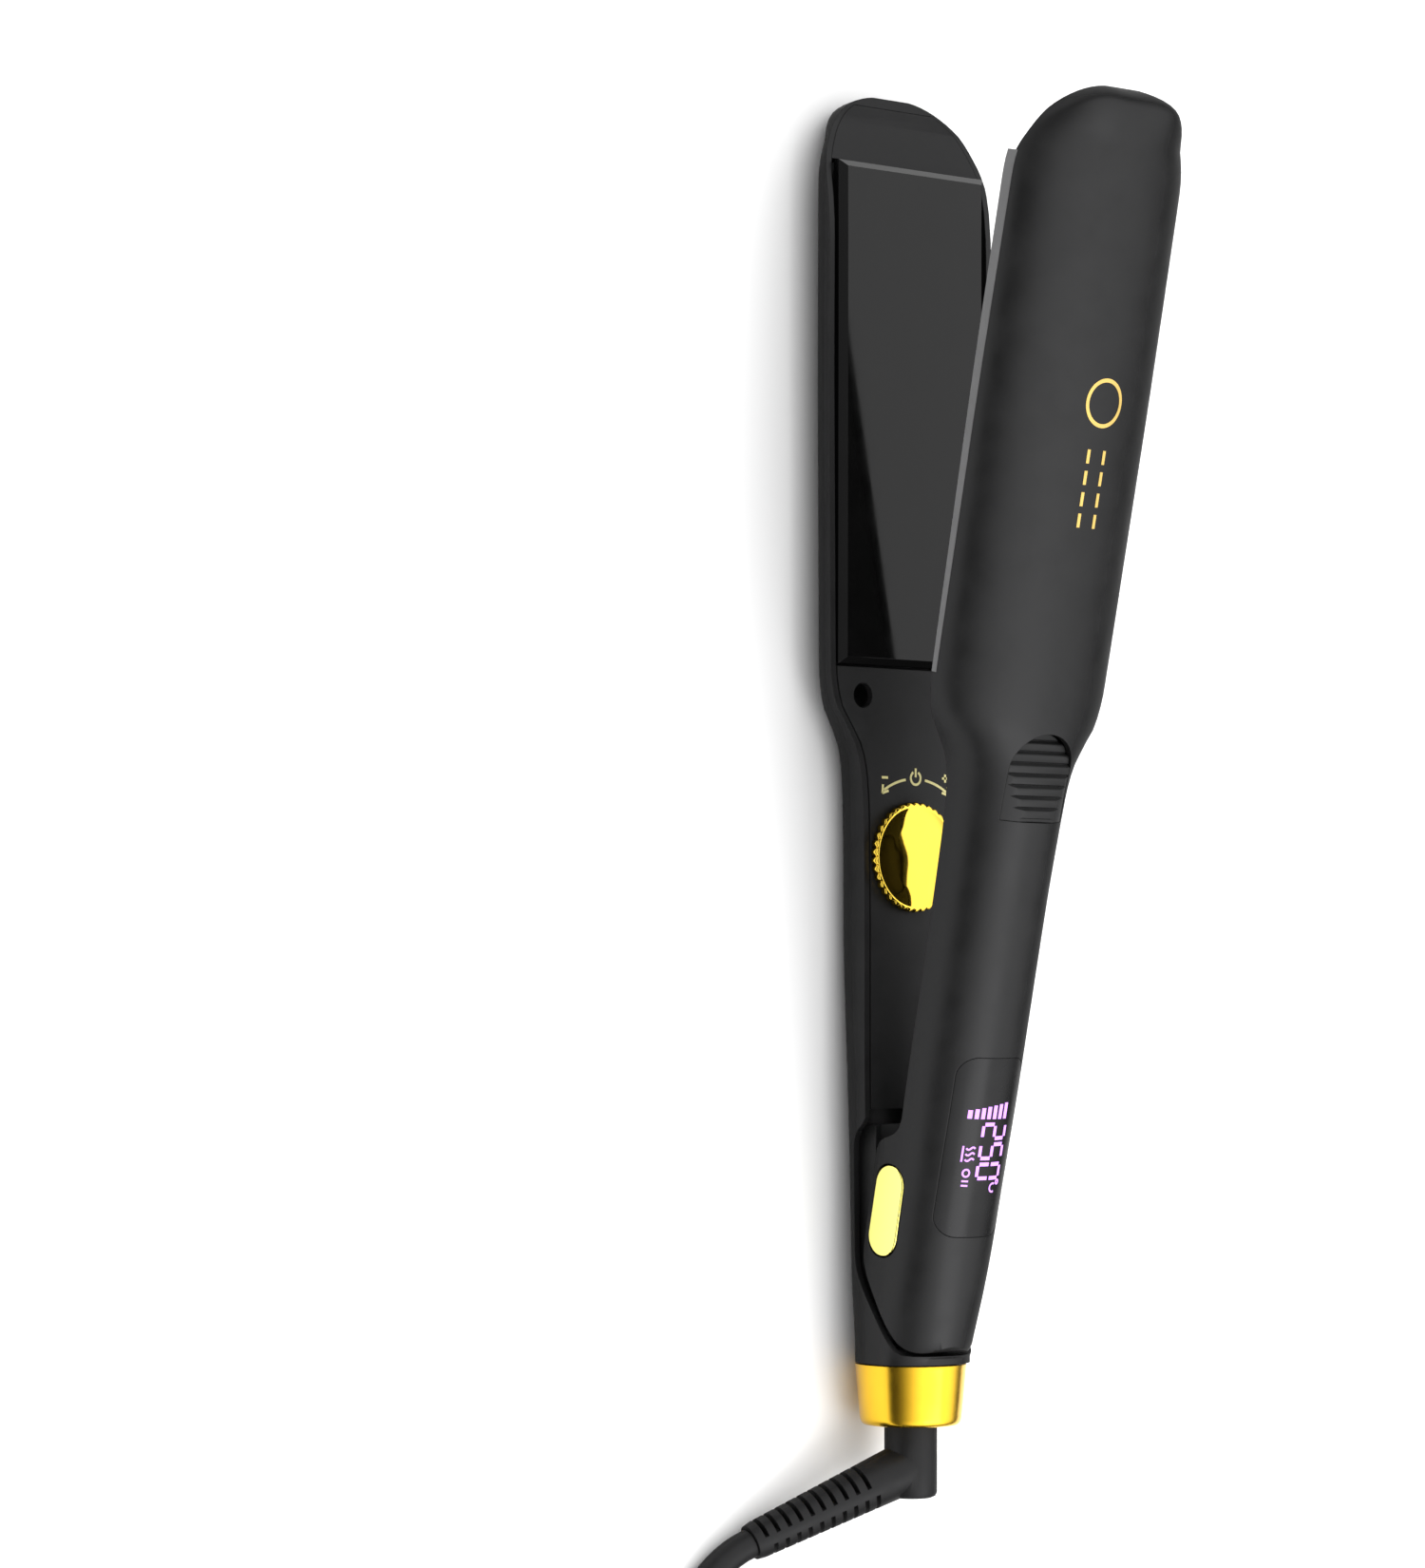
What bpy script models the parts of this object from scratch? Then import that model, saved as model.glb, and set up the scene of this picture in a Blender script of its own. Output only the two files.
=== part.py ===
"""Wide-plate flat iron, lying on the back of its lower arm with the arms sprung open.

Lengths are millimetres until a helper turns them into metres.  A point is given by three
numbers: x across the iron, s the distance from the nose towards the tail, and z the height
above the axis of the round tail.  The upper arm is modelled closed, then its pivot turns it open.
"""
import math

import bmesh
import bpy
from mathutils import Matrix, Vector

MM = 0.001

# Driving dimensions of the whole iron
LENGTH = 295.0              # nose to the end of the gold collar
BACK = 14.2                 # tail axis down to the flat land on the lower arm's back
RIM_GAP = 3.0               # between the rims of the two arms when the plates meet
WALL = 1.5
FIT = 0.3                   # gap between touching pieces
PIVOT_S, PIVOT_Z = 269.0, RIM_GAP / 2
OPEN_ANGLE = math.radians(12.3)

# Half-width, back depth and squareness of the arms along the iron
WIDTH = [(0, 24.0), (60, 24.2), (100, 23.9), (129, 23.6), (136, 22.4), (141.5, 18.9), (146.5, 16.0),
         (152.5, 14.6), (162, 14.0), (185, 13.75), (215, 13.7), (240, 13.2), (262, 12.9),
         (279.4, 12.3), (282, 12.3)]
LOWER_DEPTH = [(0, 14.5), (185, 14.5), (205, 14.0), (225, 13.5), (262, 12.8), (279.4, 12.3),
               (282, 12.3)]
UPPER_DEPTH = [(0, 14.5), (150, 14.5), (175, 13.8), (250, 13.4), (276, 12.6), (279.4, 9.3),
               (282, 9.3)]
LOWER_SQUARE = [(0, 2.1), (130, 2.1), (160, 2.45), (185, 2.45), (225, 2.15), (262, 2.1),
                (279.4, 2.0), (282, 2.0)]
UPPER_SQUARE = [(0, 2.1), (130, 2.1), (165, 2.35), (250, 2.3), (279.4, 2.0), (282, 2.0)]
# Rounding of the nose: length and power in plan, length and power at the edge, and how
# far and how strongly the cross-section squares up towards the tip
NOSE_PLAN, NOSE_PLAN_POWER = 22.0, 2.2
NOSE_EDGE, NOSE_EDGE_POWER = 5.0, 2.4
NOSE_SQUARE, NOSE_SQUARE_GAIN, NOSE_SQUARE_POWER = 12.0, 3.0, 1.6
NOSE_FLAT = 0.5             # how much of the rounding is cut off flat at the very tip
STATIONS = [0, 0.6, 1.5, 3, 5, 7.5, 11, 15, 20, 35, 70, 110, 127, 132, 136, 139, 142, 145, 148, 152,
            159, 171, 188, 208, 228, 248, 262, 270, 276, 279.4, 281.3]
ARC_STEPS = 18

# Heating plates, covers, dial, hinge, tail
PLATE_START, PLATE_END = 16.5, 127.8
CARRIER_START, CARRIER_END = 2.9, 128.0
PLATE_HALF, PLATE_CHAMFER = 21.4, 1.5
PLATE_FACE, PLATE_BASE = 0.15, 3.3      # off the plane where the plates meet
COVER_START, COVER_END = 128.4, 225.5
COVER_THICK = 1.6
DIAL_S, DIAL_RADIUS, DIAL_PROUD, DIAL_TEETH = 170.0, 12.2, 2.5, 38
GUIDE_S, GUIDE_X, GUIDE_RADIUS, PEG_RADIUS = 134.6, 14.2, 2.75, 2.0
PILL_S, PILL_Z, PILL_LONG, PILL_WIDE = 247.0, 1.6, 20.2, 9.0
LENS_S, LENS_LONG, LENS_HALF, LENS_CORNER = 229.6, 39.9, 9.5, 4.5
GRIP_TOP, GRIP_END, GRIP_HALF, GRIP_RIDGES = 137.3, 157.5, 8.9, 8
SPIGOT_RADIUS, BORE_RADIUS = 10.2, 8.4
STUB_RADIUS, STUB_END = 5.85, 304.0
ELBOW_CUT = 2.6             # mitre of the strain relief's elbow, off its corner

# Cord
CORD_RADIUS = 3.25
RELIEF_LENGTH = 42.0
RELIEF_DIRECTION = Vector((-0.905, 0.362, -0.226)).normalized()
COIL_X, COIL_S = -6.4, 396.0
COIL_INNER, COIL_OUTER, COIL_BASE, COIL_HEIGHT = 22.6, 55.4, 1.1, 12.3
TIE_HALF, TIE_THICK = 5.0, 0.8
LEAD_ROUTE = [(-38.4, 319.4, 4.75), (-41.6, 320.8, 4.25), (-45.5, 323.3, 3.75), (-49.6, 326.9, 3.45),
              (-53.2, 331.4, 3.3), (-56.0, 336.8, 3.3), (-57.7, 342.8, 3.3), (-58.4, 349.5, 3.3),
              (-58.4, 357.0, 3.3), (-58.4, 364.0, 3.5), (-58.4, 367.8, 3.7)]
TAIL_ROUTE = [(19.8, 436.5, 17.5), (24.2, 430.8, 18.6), (27.0, 424.0, 19.6), (28.0, 416.8, 20.4),
              (28.0, 410.6, 20.9)]
PLUG_X, PLUG_S, PLUG_Z, PLUG_LONG = 28.0, 391.0, 21.0, 34.0
PLUG_HALF_WIDE, PLUG_HALF_THICK = 12.5, 6.6
PIN_APART, PIN_RADIUS, PIN_LONG = 18.0, 2.0, 18.0

COLOURS = {
    "shell": ((0.012, 0.012, 0.013), 0.42, 0.0), "cover": ((0.02, 0.02, 0.021), 0.5, 0.0),
    "plate": ((0.03, 0.03, 0.032), 0.18, 0.6), "gold": ((0.85, 0.55, 0.08), 0.22, 1.0),
    "lens": ((0.003, 0.003, 0.003), 0.06, 0.0), "steel": ((0.55, 0.56, 0.58), 0.3, 1.0),
    "ceramic": ((0.85, 0.84, 0.8), 0.6, 0.0), "silicone": ((0.55, 0.12, 0.05), 0.6, 0.0),
    "board": ((0.02, 0.2, 0.07), 0.5, 0.0), "inner": ((0.03, 0.03, 0.03), 0.6, 0.0),
    "cord": ((0.015, 0.015, 0.015), 0.55, 0.0), "brass": ((0.8, 0.6, 0.3), 0.3, 1.0),
}


def clear_scene():
    for item in list(bpy.data.objects):
        bpy.data.objects.remove(item, do_unlink=True)


def make_collection(name):
    group = bpy.data.collections.new(name)
    bpy.context.scene.collection.children.link(group)
    return group


def material(slot):
    found = bpy.data.materials.get(slot)
    if found:
        return found
    colour, rough, metal = COLOURS[slot]
    made = bpy.data.materials.new(slot)
    made.use_nodes = True
    shader = made.node_tree.nodes["Principled BSDF"]
    shader.inputs["Base Color"].default_value = (*colour, 1.0)
    shader.inputs["Roughness"].default_value = rough
    shader.inputs["Metallic"].default_value = metal
    return made


def place(x, s, z):
    """World position of a point given across, from the nose, and above the tail axis."""
    return Vector((x * MM, (LENGTH / 2 - s) * MM, (BACK + z) * MM))


def smooth(table, s):
    """Value at s of a smooth curve through the (s, value) pairs, without overshoot."""
    if s <= table[0][0]:
        return table[0][1]
    for (s0, v0), (s1, v1) in zip(table, table[1:]):
        if s <= s1:
            break
    else:
        return table[-1][1]
    index = table.index((s0, v0))
    slopes = []
    for k in (index, index + 1):
        if k == 0 or k == len(table) - 1:
            slopes.append(0.0)
            continue
        before = (table[k][1] - table[k - 1][1]) / (table[k][0] - table[k - 1][0])
        after = (table[k + 1][1] - table[k][1]) / (table[k + 1][0] - table[k][0])
        both = before * after
        slopes.append(2 * both / (before + after) if both > 0 else 0.0)
    span = s1 - s0
    t = (s - s0) / span
    return ((1 + 2 * t) * (1 - t) ** 2 * v0 + t * t * (3 - 2 * t) * v1
            + span * (t * (1 - t) ** 2 * slopes[0] - t * t * (1 - t) * slopes[1]))


def nose_factor(s, length, power):
    left = max(0.0, 1.0 - (s + NOSE_FLAT) / length)
    return (1.0 - left ** power) ** (1.0 / power)


def section(s, inset):
    """Ring of (x, z) points round the closed iron at s, drawn in by inset."""
    half = smooth(WIDTH, s) * nose_factor(s, NOSE_PLAN, NOSE_PLAN_POWER) - inset
    nose = NOSE_SQUARE_GAIN * max(0.0, 1.0 - s / NOSE_SQUARE) ** NOSE_SQUARE_POWER
    ring = []
    for side, depths, squares in ((-1, LOWER_DEPTH, LOWER_SQUARE), (1, UPPER_DEPTH, UPPER_SQUARE)):
        depth = smooth(depths, s) * nose_factor(s, NOSE_EDGE, NOSE_EDGE_POWER) - inset
        power = 2.0 / (smooth(squares, s) + nose)
        rim = 0.0 if side < 0 else RIM_GAP
        limit = BACK - inset if side < 0 else depth
        for k in range(ARC_STEPS + 1):
            angle = math.pi * k / ARC_STEPS
            across, down = math.cos(angle), math.sin(angle)
            x = half * math.copysign(abs(across) ** power, across) * side
            ring.append((x, rim + side * min(depth * abs(down) ** power, limit)))
    return ring


def register(item, group, slot, parent=None):
    group.objects.link(item)
    if slot:
        item.data.materials.clear()
        item.data.materials.append(material(slot))
    else:
        item.hide_render = True
        item.display_type = "WIRE"
    if parent:
        item.parent = parent
        item.matrix_parent_inverse = parent.matrix_world.inverted()
    return item


def mesh_object(name, mesh_data, weld=1e-6):
    bmesh.ops.remove_doubles(mesh_data, verts=mesh_data.verts, dist=weld)
    bmesh.ops.recalc_face_normals(mesh_data, faces=mesh_data.faces)
    mesh = bpy.data.meshes.new(name)
    mesh_data.to_mesh(mesh)
    mesh_data.free()
    return bpy.data.objects.new(name, mesh)


def iron_form(name, inset=0.0, start=0.0, end=281.3):
    """Loft of the whole closed iron between two stations, drawn in by inset."""
    stations = [start] + [s for s in STATIONS if start + 0.4 < s < end - 0.4] + [end]
    data = bmesh.new()
    rings = [[data.verts.new(place(x, s, z)) for x, z in section(s, inset)] for s in stations]
    count = len(rings[0])
    for near, far in zip(rings, rings[1:]):
        for k in range(count):
            nxt = (k + 1) % count
            data.faces.new((near[k], near[nxt], far[nxt], far[k]))
    data.faces.new(rings[0])
    data.faces.new(rings[-1][::-1])
    return mesh_object(name, data)


def solid_from_curve(name, curve, weld=1e-6):
    """Mesh object from a filled or bevelled curve, with its caps welded on."""
    holder = bpy.data.objects.new(name + "_curve", curve)
    bpy.context.scene.collection.objects.link(holder)
    depsgraph = bpy.context.evaluated_depsgraph_get()
    mesh = bpy.data.meshes.new_from_object(holder.evaluated_get(depsgraph))
    data = bmesh.new()
    data.from_mesh(mesh)
    bpy.data.objects.remove(holder, do_unlink=True)
    bpy.data.meshes.remove(mesh)
    return mesh_object(name, data, weld)


def outline_solid(name, outline, low, high, plane):
    """Flat outline given thickness. plane 'side' takes (s, z), plane 'plan' takes (x, s)."""
    curve = bpy.data.curves.new(name, "CURVE")
    curve.dimensions = "2D"
    curve.fill_mode = "BOTH"
    curve.extrude = (high - low) / 2
    line = curve.splines.new("POLY")
    line.points.add(len(outline) - 1)
    for point, (a, b) in zip(line.points, outline):
        point.co = (a, b, 0.0, 1.0)
    line.use_cyclic_u = True
    item = solid_from_curve(name, curve, 1e-3)
    middle = (high + low) / 2
    for vertex in item.data.vertices:
        a, b, depth = vertex.co
        vertex.co = place(depth + middle, a, b) if plane == "side" else place(a, b, depth + middle)
    fix_normals(item)
    return item


def fix_normals(item):
    data = bmesh.new()
    data.from_mesh(item.data)
    bmesh.ops.recalc_face_normals(data, faces=data.faces)
    data.to_mesh(item.data)
    data.free()


def box(name, xs, ss, zs):
    data = bmesh.new()
    bmesh.ops.create_cube(data, size=1.0)
    for vertex in data.verts:
        x, y, z = vertex.co + Vector((0.5, 0.5, 0.5))
        vertex.co = place(xs[0] + x * (xs[1] - xs[0]), ss[0] + y * (ss[1] - ss[0]),
                          zs[0] + z * (zs[1] - zs[0]))
    return mesh_object(name, data)


def rod(name, centre, radius, length, axis, sides=20):
    """Cylinder centred at (x, s, z), along 'x', 's' or 'z'."""
    data = bmesh.new()
    bmesh.ops.create_cone(data, cap_ends=True, segments=sides, radius1=radius * MM, radius2=radius * MM,
                          depth=length * MM)
    turns = {"x": Matrix.Rotation(math.pi / 2, 4, "Y"), "s": Matrix.Rotation(math.pi / 2, 4, "X"),
             "z": Matrix.Identity(4)}
    bmesh.ops.transform(data, matrix=turns[axis], verts=data.verts)
    bmesh.ops.translate(data, vec=place(*centre), verts=data.verts)
    return mesh_object(name, data)


def turned(name, profile, centre, axis, steps=24):
    """Profile of (radius, offset) pairs turned about an axis through centre.

    A profile that starts and ends on the axis is solid; any other is closed into a ring.
    """
    solid = profile[0][0] == 0 and profile[-1][0] == 0
    area = sum(a[0] * b[1] - b[0] * a[1] for a, b in zip(profile, profile[1:] + profile[:1]))
    ordered = profile[::-1] if area > 0 else profile
    count = len(ordered)
    mesh = bpy.data.meshes.new(name)
    points = [(radius * MM, 0.0, offset * MM) for radius, offset in ordered]
    edges = [(k, (k + 1) % count) for k in range(count - 1 if solid else count)]
    mesh.from_pydata(points, edges, [])
    item = bpy.data.objects.new(name, mesh)
    item.location = place(*centre)
    if axis == "s":
        item.rotation_euler = (math.pi / 2, 0.0, 0.0)
    if axis == "x":
        item.rotation_euler = (0.0, math.pi / 2, 0.0)
    screw = item.modifiers.new("turn", "SCREW")
    screw.steps = screw.render_steps = steps
    screw.use_merge_vertices = True
    screw.merge_threshold = 0.00001
    return item


def pipe(name, points, radii, sides=2):
    """Round tube through world points given in metres, as a mesh."""
    curve = bpy.data.curves.new(name, "CURVE")
    curve.dimensions = "3D"
    curve.bevel_depth = MM
    curve.bevel_resolution = sides
    curve.use_fill_caps = True
    line = curve.splines.new("POLY")
    line.points.add(len(points) - 1)
    for point, where, radius in zip(line.points, points, radii):
        point.co = (*where, 1.0)
        point.radius = radius
    return solid_from_curve(name, curve)


def cut(item, cutter, operation="DIFFERENCE"):
    step = item.modifiers.new(cutter.name, "BOOLEAN")
    step.object = cutter
    step.operation = operation
    step.solver = "EXACT"
    return item


def bevel(item, width, segments=2):
    step = item.modifiers.new("edge", "BEVEL")
    step.width = width * MM
    step.segments = segments
    step.limit_method = "ANGLE"
    step.angle_limit = math.radians(40)
    return item


def shade(item, angle=35):
    item.data.shade_smooth()
    item.data.set_sharp_from_angle(angle=math.radians(angle))
    return item


def arc(centre, radius, start, end, steps):
    """Points on an arc in degrees, ends included."""
    angles = [math.radians(start + (end - start) * k / steps) for k in range(steps + 1)]
    return [(centre[0] + radius * math.cos(a), centre[1] + radius * math.sin(a)) for a in angles]


def rounded_outline(centre, half_a, half_b, corner, steps=4):
    a, b = half_a - corner, half_b - corner
    points = []
    for sign_a, sign_b, start in ((1, 1, 0), (-1, 1, 90), (-1, -1, 180), (1, -1, 270)):
        points += arc((centre[0] + sign_a * a, centre[1] + sign_b * b), corner, start, start + 90, steps)
    return points


# How far the rims fall away from each other towards the nose
NOSE_FALL = [(-6, 7.5), (0, 7.0), (3, 6.0), (6.5, 4.6), (10, 3.7), (14, 2.6), (18, 1.6), (24, 0.6),
             (30, 0.1), (34, 0.0)]
# The seam between the arms, seen from the side as (s, z) with the arms closed.
UPPER_SEAM = [(s, RIM_GAP + fall) for s, fall in NOSE_FALL]
UPPER_SEAM += [(226, RIM_GAP), (228.6, 2.4), (230.2, 0.8), (231.2, -1.2), (232.6, -3.6),
              (234.6, -4.5), (237, -4.6), (255.5, -4.6), (258.8, -4.1), (261.2, -2.8), (273.5, 7.5),
              (276.0, 10.4), (276.5, 12.6), (275.7, 14.6), (273.6, 16.4), (273.4, 24)]
LOWER_SEAM = [(s, -fall) for s, fall in NOSE_FALL]
LOWER_SEAM += [(227.4, 0), (229, -1.2), (230.4, -3.2), (232.4, -4.7), (235.5, -5.1), (256.5, -5.1),
              (259.8, -4.7), (262.2, -3.5), (275.8, 5.3), (278.6, 7.4), (279.4, 9.5), (279.4, 24)]


class Bench:
    """Where pieces and cutters go."""

    def __init__(self):
        self.parts = make_collection("flat_iron")
        self.tools = make_collection("cutters")
        self.pivot = self.empty("upper_arm_pivot", place(0, PIVOT_S, PIVOT_Z))
        self.tail = self.empty("cord_swivel_axis", place(0, STUB_END, 0))

    def empty(self, name, where):
        item = bpy.data.objects.new(name, None)
        item.empty_display_size = 0.01
        item.location = where
        item.matrix_basis.translation = where
        self.parts.objects.link(item)
        bpy.context.view_layer.update()
        return item

    def part(self, item, slot, parent=None):
        return register(item, self.parts, slot, parent)

    def tool(self, item, parent=None):
        return register(item, self.tools, None, parent)


def build_lower_shell(bench):
    shell = bench.part(iron_form("lower_shell"), "shell")
    cut(shell, bench.tool(outline_solid("lower_above", LOWER_SEAM + [(-6, 24)], -40, 40, "side")))
    cut(shell, bench.tool(iron_form("lower_hollow", WALL, 2.4, 278.0)))
    cut(shell, bench.tool(rod("spigot_form", (0, 285.5, 0), SPIGOT_RADIUS, 11.0, "s", 32)), "UNION")
    cut(shell, bench.tool(rod("spigot_bore", (0, 285.0, 0), BORE_RADIUS, 16.0, "s", 32)))
    return shade(shell)


def build_upper_shell(bench):
    pivot = bench.pivot
    shell = bench.part(iron_form("upper_shell", 0.0, 0.0, 279.0), "shell", pivot)
    below = UPPER_SEAM + [(300, 24), (300, -24), (-6, -24)]
    cut(shell, bench.tool(outline_solid("upper_below", below, -40, 40, "side"), pivot))
    cut(shell, bench.tool(iron_form("upper_hollow", WALL, 2.4, 274.4), pivot))
    lens = rounded_outline((0, LENS_S), LENS_HALF + FIT, LENS_LONG / 2 + FIT, LENS_CORNER)
    cut(shell, bench.tool(outline_solid("lens_opening", lens, 8.5, 24, "plan"), pivot))
    grip = grip_outline(FIT)
    cut(shell, bench.tool(outline_solid("grip_opening", grip, 11.6, 24, "plan"), pivot))
    for side in (-1, 1):
        pocket = rounded_outline((PILL_S, PILL_Z), PILL_LONG / 2 + FIT, PILL_WIDE / 2 + FIT, PILL_WIDE / 2)
        reach = sorted((side * 11.7, side * 20))
        cut(shell, bench.tool(outline_solid(f"pill_pocket_{side}", pocket, *reach, "side"), pivot))
    return shade(shell)


def build_pills(bench):
    for name, side in (("left", -1), ("right", 1)):
        outline = rounded_outline((PILL_S, PILL_Z), PILL_LONG / 2, PILL_WIDE / 2, PILL_WIDE / 2 - 0.05, 6)
        reach = sorted((side * 12.0, side * 13.15))
        pill = outline_solid(f"hinge_pill_{name}", outline, *reach, "side")
        shade(bench.part(pill, "gold", bench.pivot))


def grip_outline(grow):
    """Arch seen from above, round towards the nose, as (x, s)."""
    half = GRIP_HALF + grow
    top = [(x, s * 0.9 + 0.1 * (GRIP_TOP + 9)) for x, s in arc((0, GRIP_TOP + 9), half, 180, 360, 12)]
    return top + [(half, GRIP_END + grow), (-half, GRIP_END + grow)]


def build_thumb_grip(bench):
    top = RIM_GAP + 14.0
    pitch = (GRIP_END - GRIP_TOP - 1.0) / GRIP_RIDGES
    stairs = [(GRIP_TOP - 4, 11.9)]
    for k in range(GRIP_RIDGES):
        start = GRIP_TOP + 0.4 + k * pitch
        floor = top - 2.9 * (1 - k / GRIP_RIDGES)
        stairs += [(start, floor - 0.5), (start + 0.3 * pitch, floor + 0.55),
                   (start + 0.9 * pitch, floor + 0.3)]
    stairs += [(GRIP_END + 4, top - 0.2), (GRIP_END + 4, 11.9)]
    grip = bench.part(outline_solid("thumb_grip", stairs, -12, 12, "side"), "cover", bench.pivot)
    arch = bench.tool(outline_solid("grip_arch", grip_outline(0), 5, 30, "plan"), bench.pivot)
    cut(grip, arch, "INTERSECT")
    cut(grip, bench.tool(iron_form("grip_skin", 0.1, GRIP_TOP - 6, GRIP_END + 7), bench.pivot), "INTERSECT")


def build_display(bench):
    pivot = bench.pivot
    lens = bench.part(iron_form("display_lens", 0.02, LENS_S - 25, LENS_S + 27), "lens", pivot)
    outline = rounded_outline((0, LENS_S), LENS_HALF, LENS_LONG / 2, LENS_CORNER)
    cut(lens, bench.tool(outline_solid("lens_outline", outline, 8.0, 30, "plan"), pivot), "INTERSECT")
    cut(lens, bench.tool(iron_form("lens_inside", 1.4, LENS_S - 30, LENS_S + 31), pivot))
    shade(lens)
    bench.part(box("display_module", (-7, 7), (LENS_S - 16, LENS_S + 16), (10.6, 12.8)), "inner", pivot)
    bench.part(box("display_board", (-8, 8), (LENS_S - 19, LENS_S + 19), (9.0, 10.2)), "board", pivot)


def build_plate(bench, name, side, parent):
    """Heating plate with chamfered edges; side -1 is the lower arm's, 1 the upper's."""
    middle = RIM_GAP / 2
    base, face = middle + side * PLATE_BASE, middle + side * PLATE_FACE
    plate = bench.part(box(name, (-PLATE_HALF, PLATE_HALF), (PLATE_START, PLATE_END),
                           sorted((base, face))), "plate", parent)
    data = bmesh.new()
    data.from_mesh(plate.data)
    world_face = (BACK + face) * MM
    edges = [e for e in data.edges if all(abs(v.co.z - world_face) < 1e-6 for v in e.verts)]
    bmesh.ops.bevel(data, geom=edges, offset=PLATE_CHAMFER * MM, segments=1, affect="EDGES")
    data.to_mesh(plate.data)
    data.free()
    return plate


def heat_stack(bench, arm, side, parent):
    """Heater, its clip and the sensor under one plate, which float with it."""
    def height(low, high):
        return sorted((RIM_GAP / 2 + side * low, RIM_GAP / 2 + side * high))
    bench.part(box(f"{arm}_heater", (-8, 8), (30, 112), height(3.6, 4.6)), "ceramic", parent)
    clip = [(-12, 3.6), (-9.4, 3.6), (-8.6, 4.9), (8.6, 4.9), (9.4, 3.6), (12, 3.6), (12, 4.1),
            (9.8, 4.1), (9.0, 5.4), (-9.0, 5.4), (-9.8, 4.1), (-12, 4.1)]
    strip = bench.part(outline_solid(f"{arm}_heater_clip", clip, 40, 102, "side"), "steel", parent)
    for vertex in strip.data.vertices:
        old = vertex.co.copy()
        across = LENGTH / 2 - old.y / MM
        along = old.x / MM
        drop = old.z / MM - BACK
        vertex.co = place(across, along, RIM_GAP / 2 + side * drop)
    fix_normals(strip)
    sensor = "lower_thermal_fuse" if side < 0 else "upper_thermal_sensor"
    bench.part(rod(sensor, (16, 66, RIM_GAP / 2 + side * 4.8), 1.0, 10, "s", 12), "steel", parent)


def build_carrier(bench, arm, side, parent):
    """Heat-resistant tray that holds the plate and closes the nose."""
    def height(low, high):
        return sorted((RIM_GAP / 2 + side * low, RIM_GAP / 2 + side * high))
    tray = iron_form(f"{arm}_plate_carrier", WALL + FIT, CARRIER_START, CARRIER_END)
    carrier = bench.part(tray, "inner", parent)
    rim = LOWER_SEAM + [(-6, 24)] if side < 0 else UPPER_SEAM + [(300, 24), (300, -24), (-6, -24)]
    cut(carrier, bench.tool(outline_solid(f"{arm}_carrier_rim", rim, -40, 40, "side"), parent))
    trims = [("under", (-40, 40), (-9, 140), height(8.9, 40)),
             ("pocket", (-40, 40), (PLATE_START - 0.4, 140), height(0, 7.3))]
    for label, xs, ss, zs in trims:
        cut(carrier, bench.tool(box(f"{arm}_carrier_{label}", xs, ss, zs), parent))
    for label, s in (("front", 24), ("rear", 118)):
        hole = rod(f"{arm}_carrier_hole_{label}", (14, s, RIM_GAP / 2 + side * 8), 1.6, 6, "z", 12)
        cut(carrier, bench.tool(hole, parent))
        head = RIM_GAP / 2 + side * 6.4
        screw = [(0, 0.6), (2.6, 0.6), (2.6, -0.5), (1.3, -0.7), (1.3, -4.2), (0, -4.2)]
        flip = [(r, -side * t) for r, t in screw]
        turned_screw = turned(f"{arm}_carrier_screw_{label}", flip, (14, s, head), "z", 12)
        bench.part(turned_screw, "steel", parent)
        block = box(f"{arm}_cushion_{label}", (-7, 7), (s - 3.0, s + 3.0), height(4.9, 7.0))
        bench.part(block, "silicone", parent)


def cover_outline(inset):
    """Plan outline of an arm's inner handle cover, as (x, s)."""
    steps = [COVER_START, 131, 134, 137, 139.5, 142, 145, 148, 151, 155, 160, 169, 185, 205, COVER_END]
    side = [(smooth(WIDTH, s) - inset, s) for s in steps]
    return side + [(-x, s) for x, s in reversed(side)]


def build_covers(bench):
    outline = cover_outline(WALL + 1.5 * FIT)
    lower = bench.part(outline_solid("lower_cover", outline, -COVER_THICK, 0, "plan"), "cover")
    for side in (-1, 1):
        hole = rod(f"guide_hole_{side}", (side * GUIDE_X, GUIDE_S, 0), GUIDE_RADIUS, 6, "z")
        cut(lower, bench.tool(hole))
    cut(lower, bench.tool(rod("dial_stem_hole", (0, DIAL_S, 0), 3.6, 6, "z")))
    upper = outline_solid("upper_cover", outline, RIM_GAP, RIM_GAP + COVER_THICK, "plan")
    upper = bench.part(upper, "cover", bench.pivot)
    pocket = rod("dial_pocket", (0, DIAL_S, RIM_GAP), DIAL_RADIUS + 0.9, 1.6, "z", 32)
    cut(upper, bench.tool(pocket, bench.pivot))
    for side in (-1, 1):
        peg = turned(f"guide_peg_{side}", [(0, 4.2), (PEG_RADIUS, 4.2), (PEG_RADIUS, -3.0),
                                           (PEG_RADIUS - 0.8, -4.0), (0, -4.0)],
                     (side * GUIDE_X, GUIDE_S, 0), "z", 16)
        cut(upper, bench.tool(peg, bench.pivot), "UNION")


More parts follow.
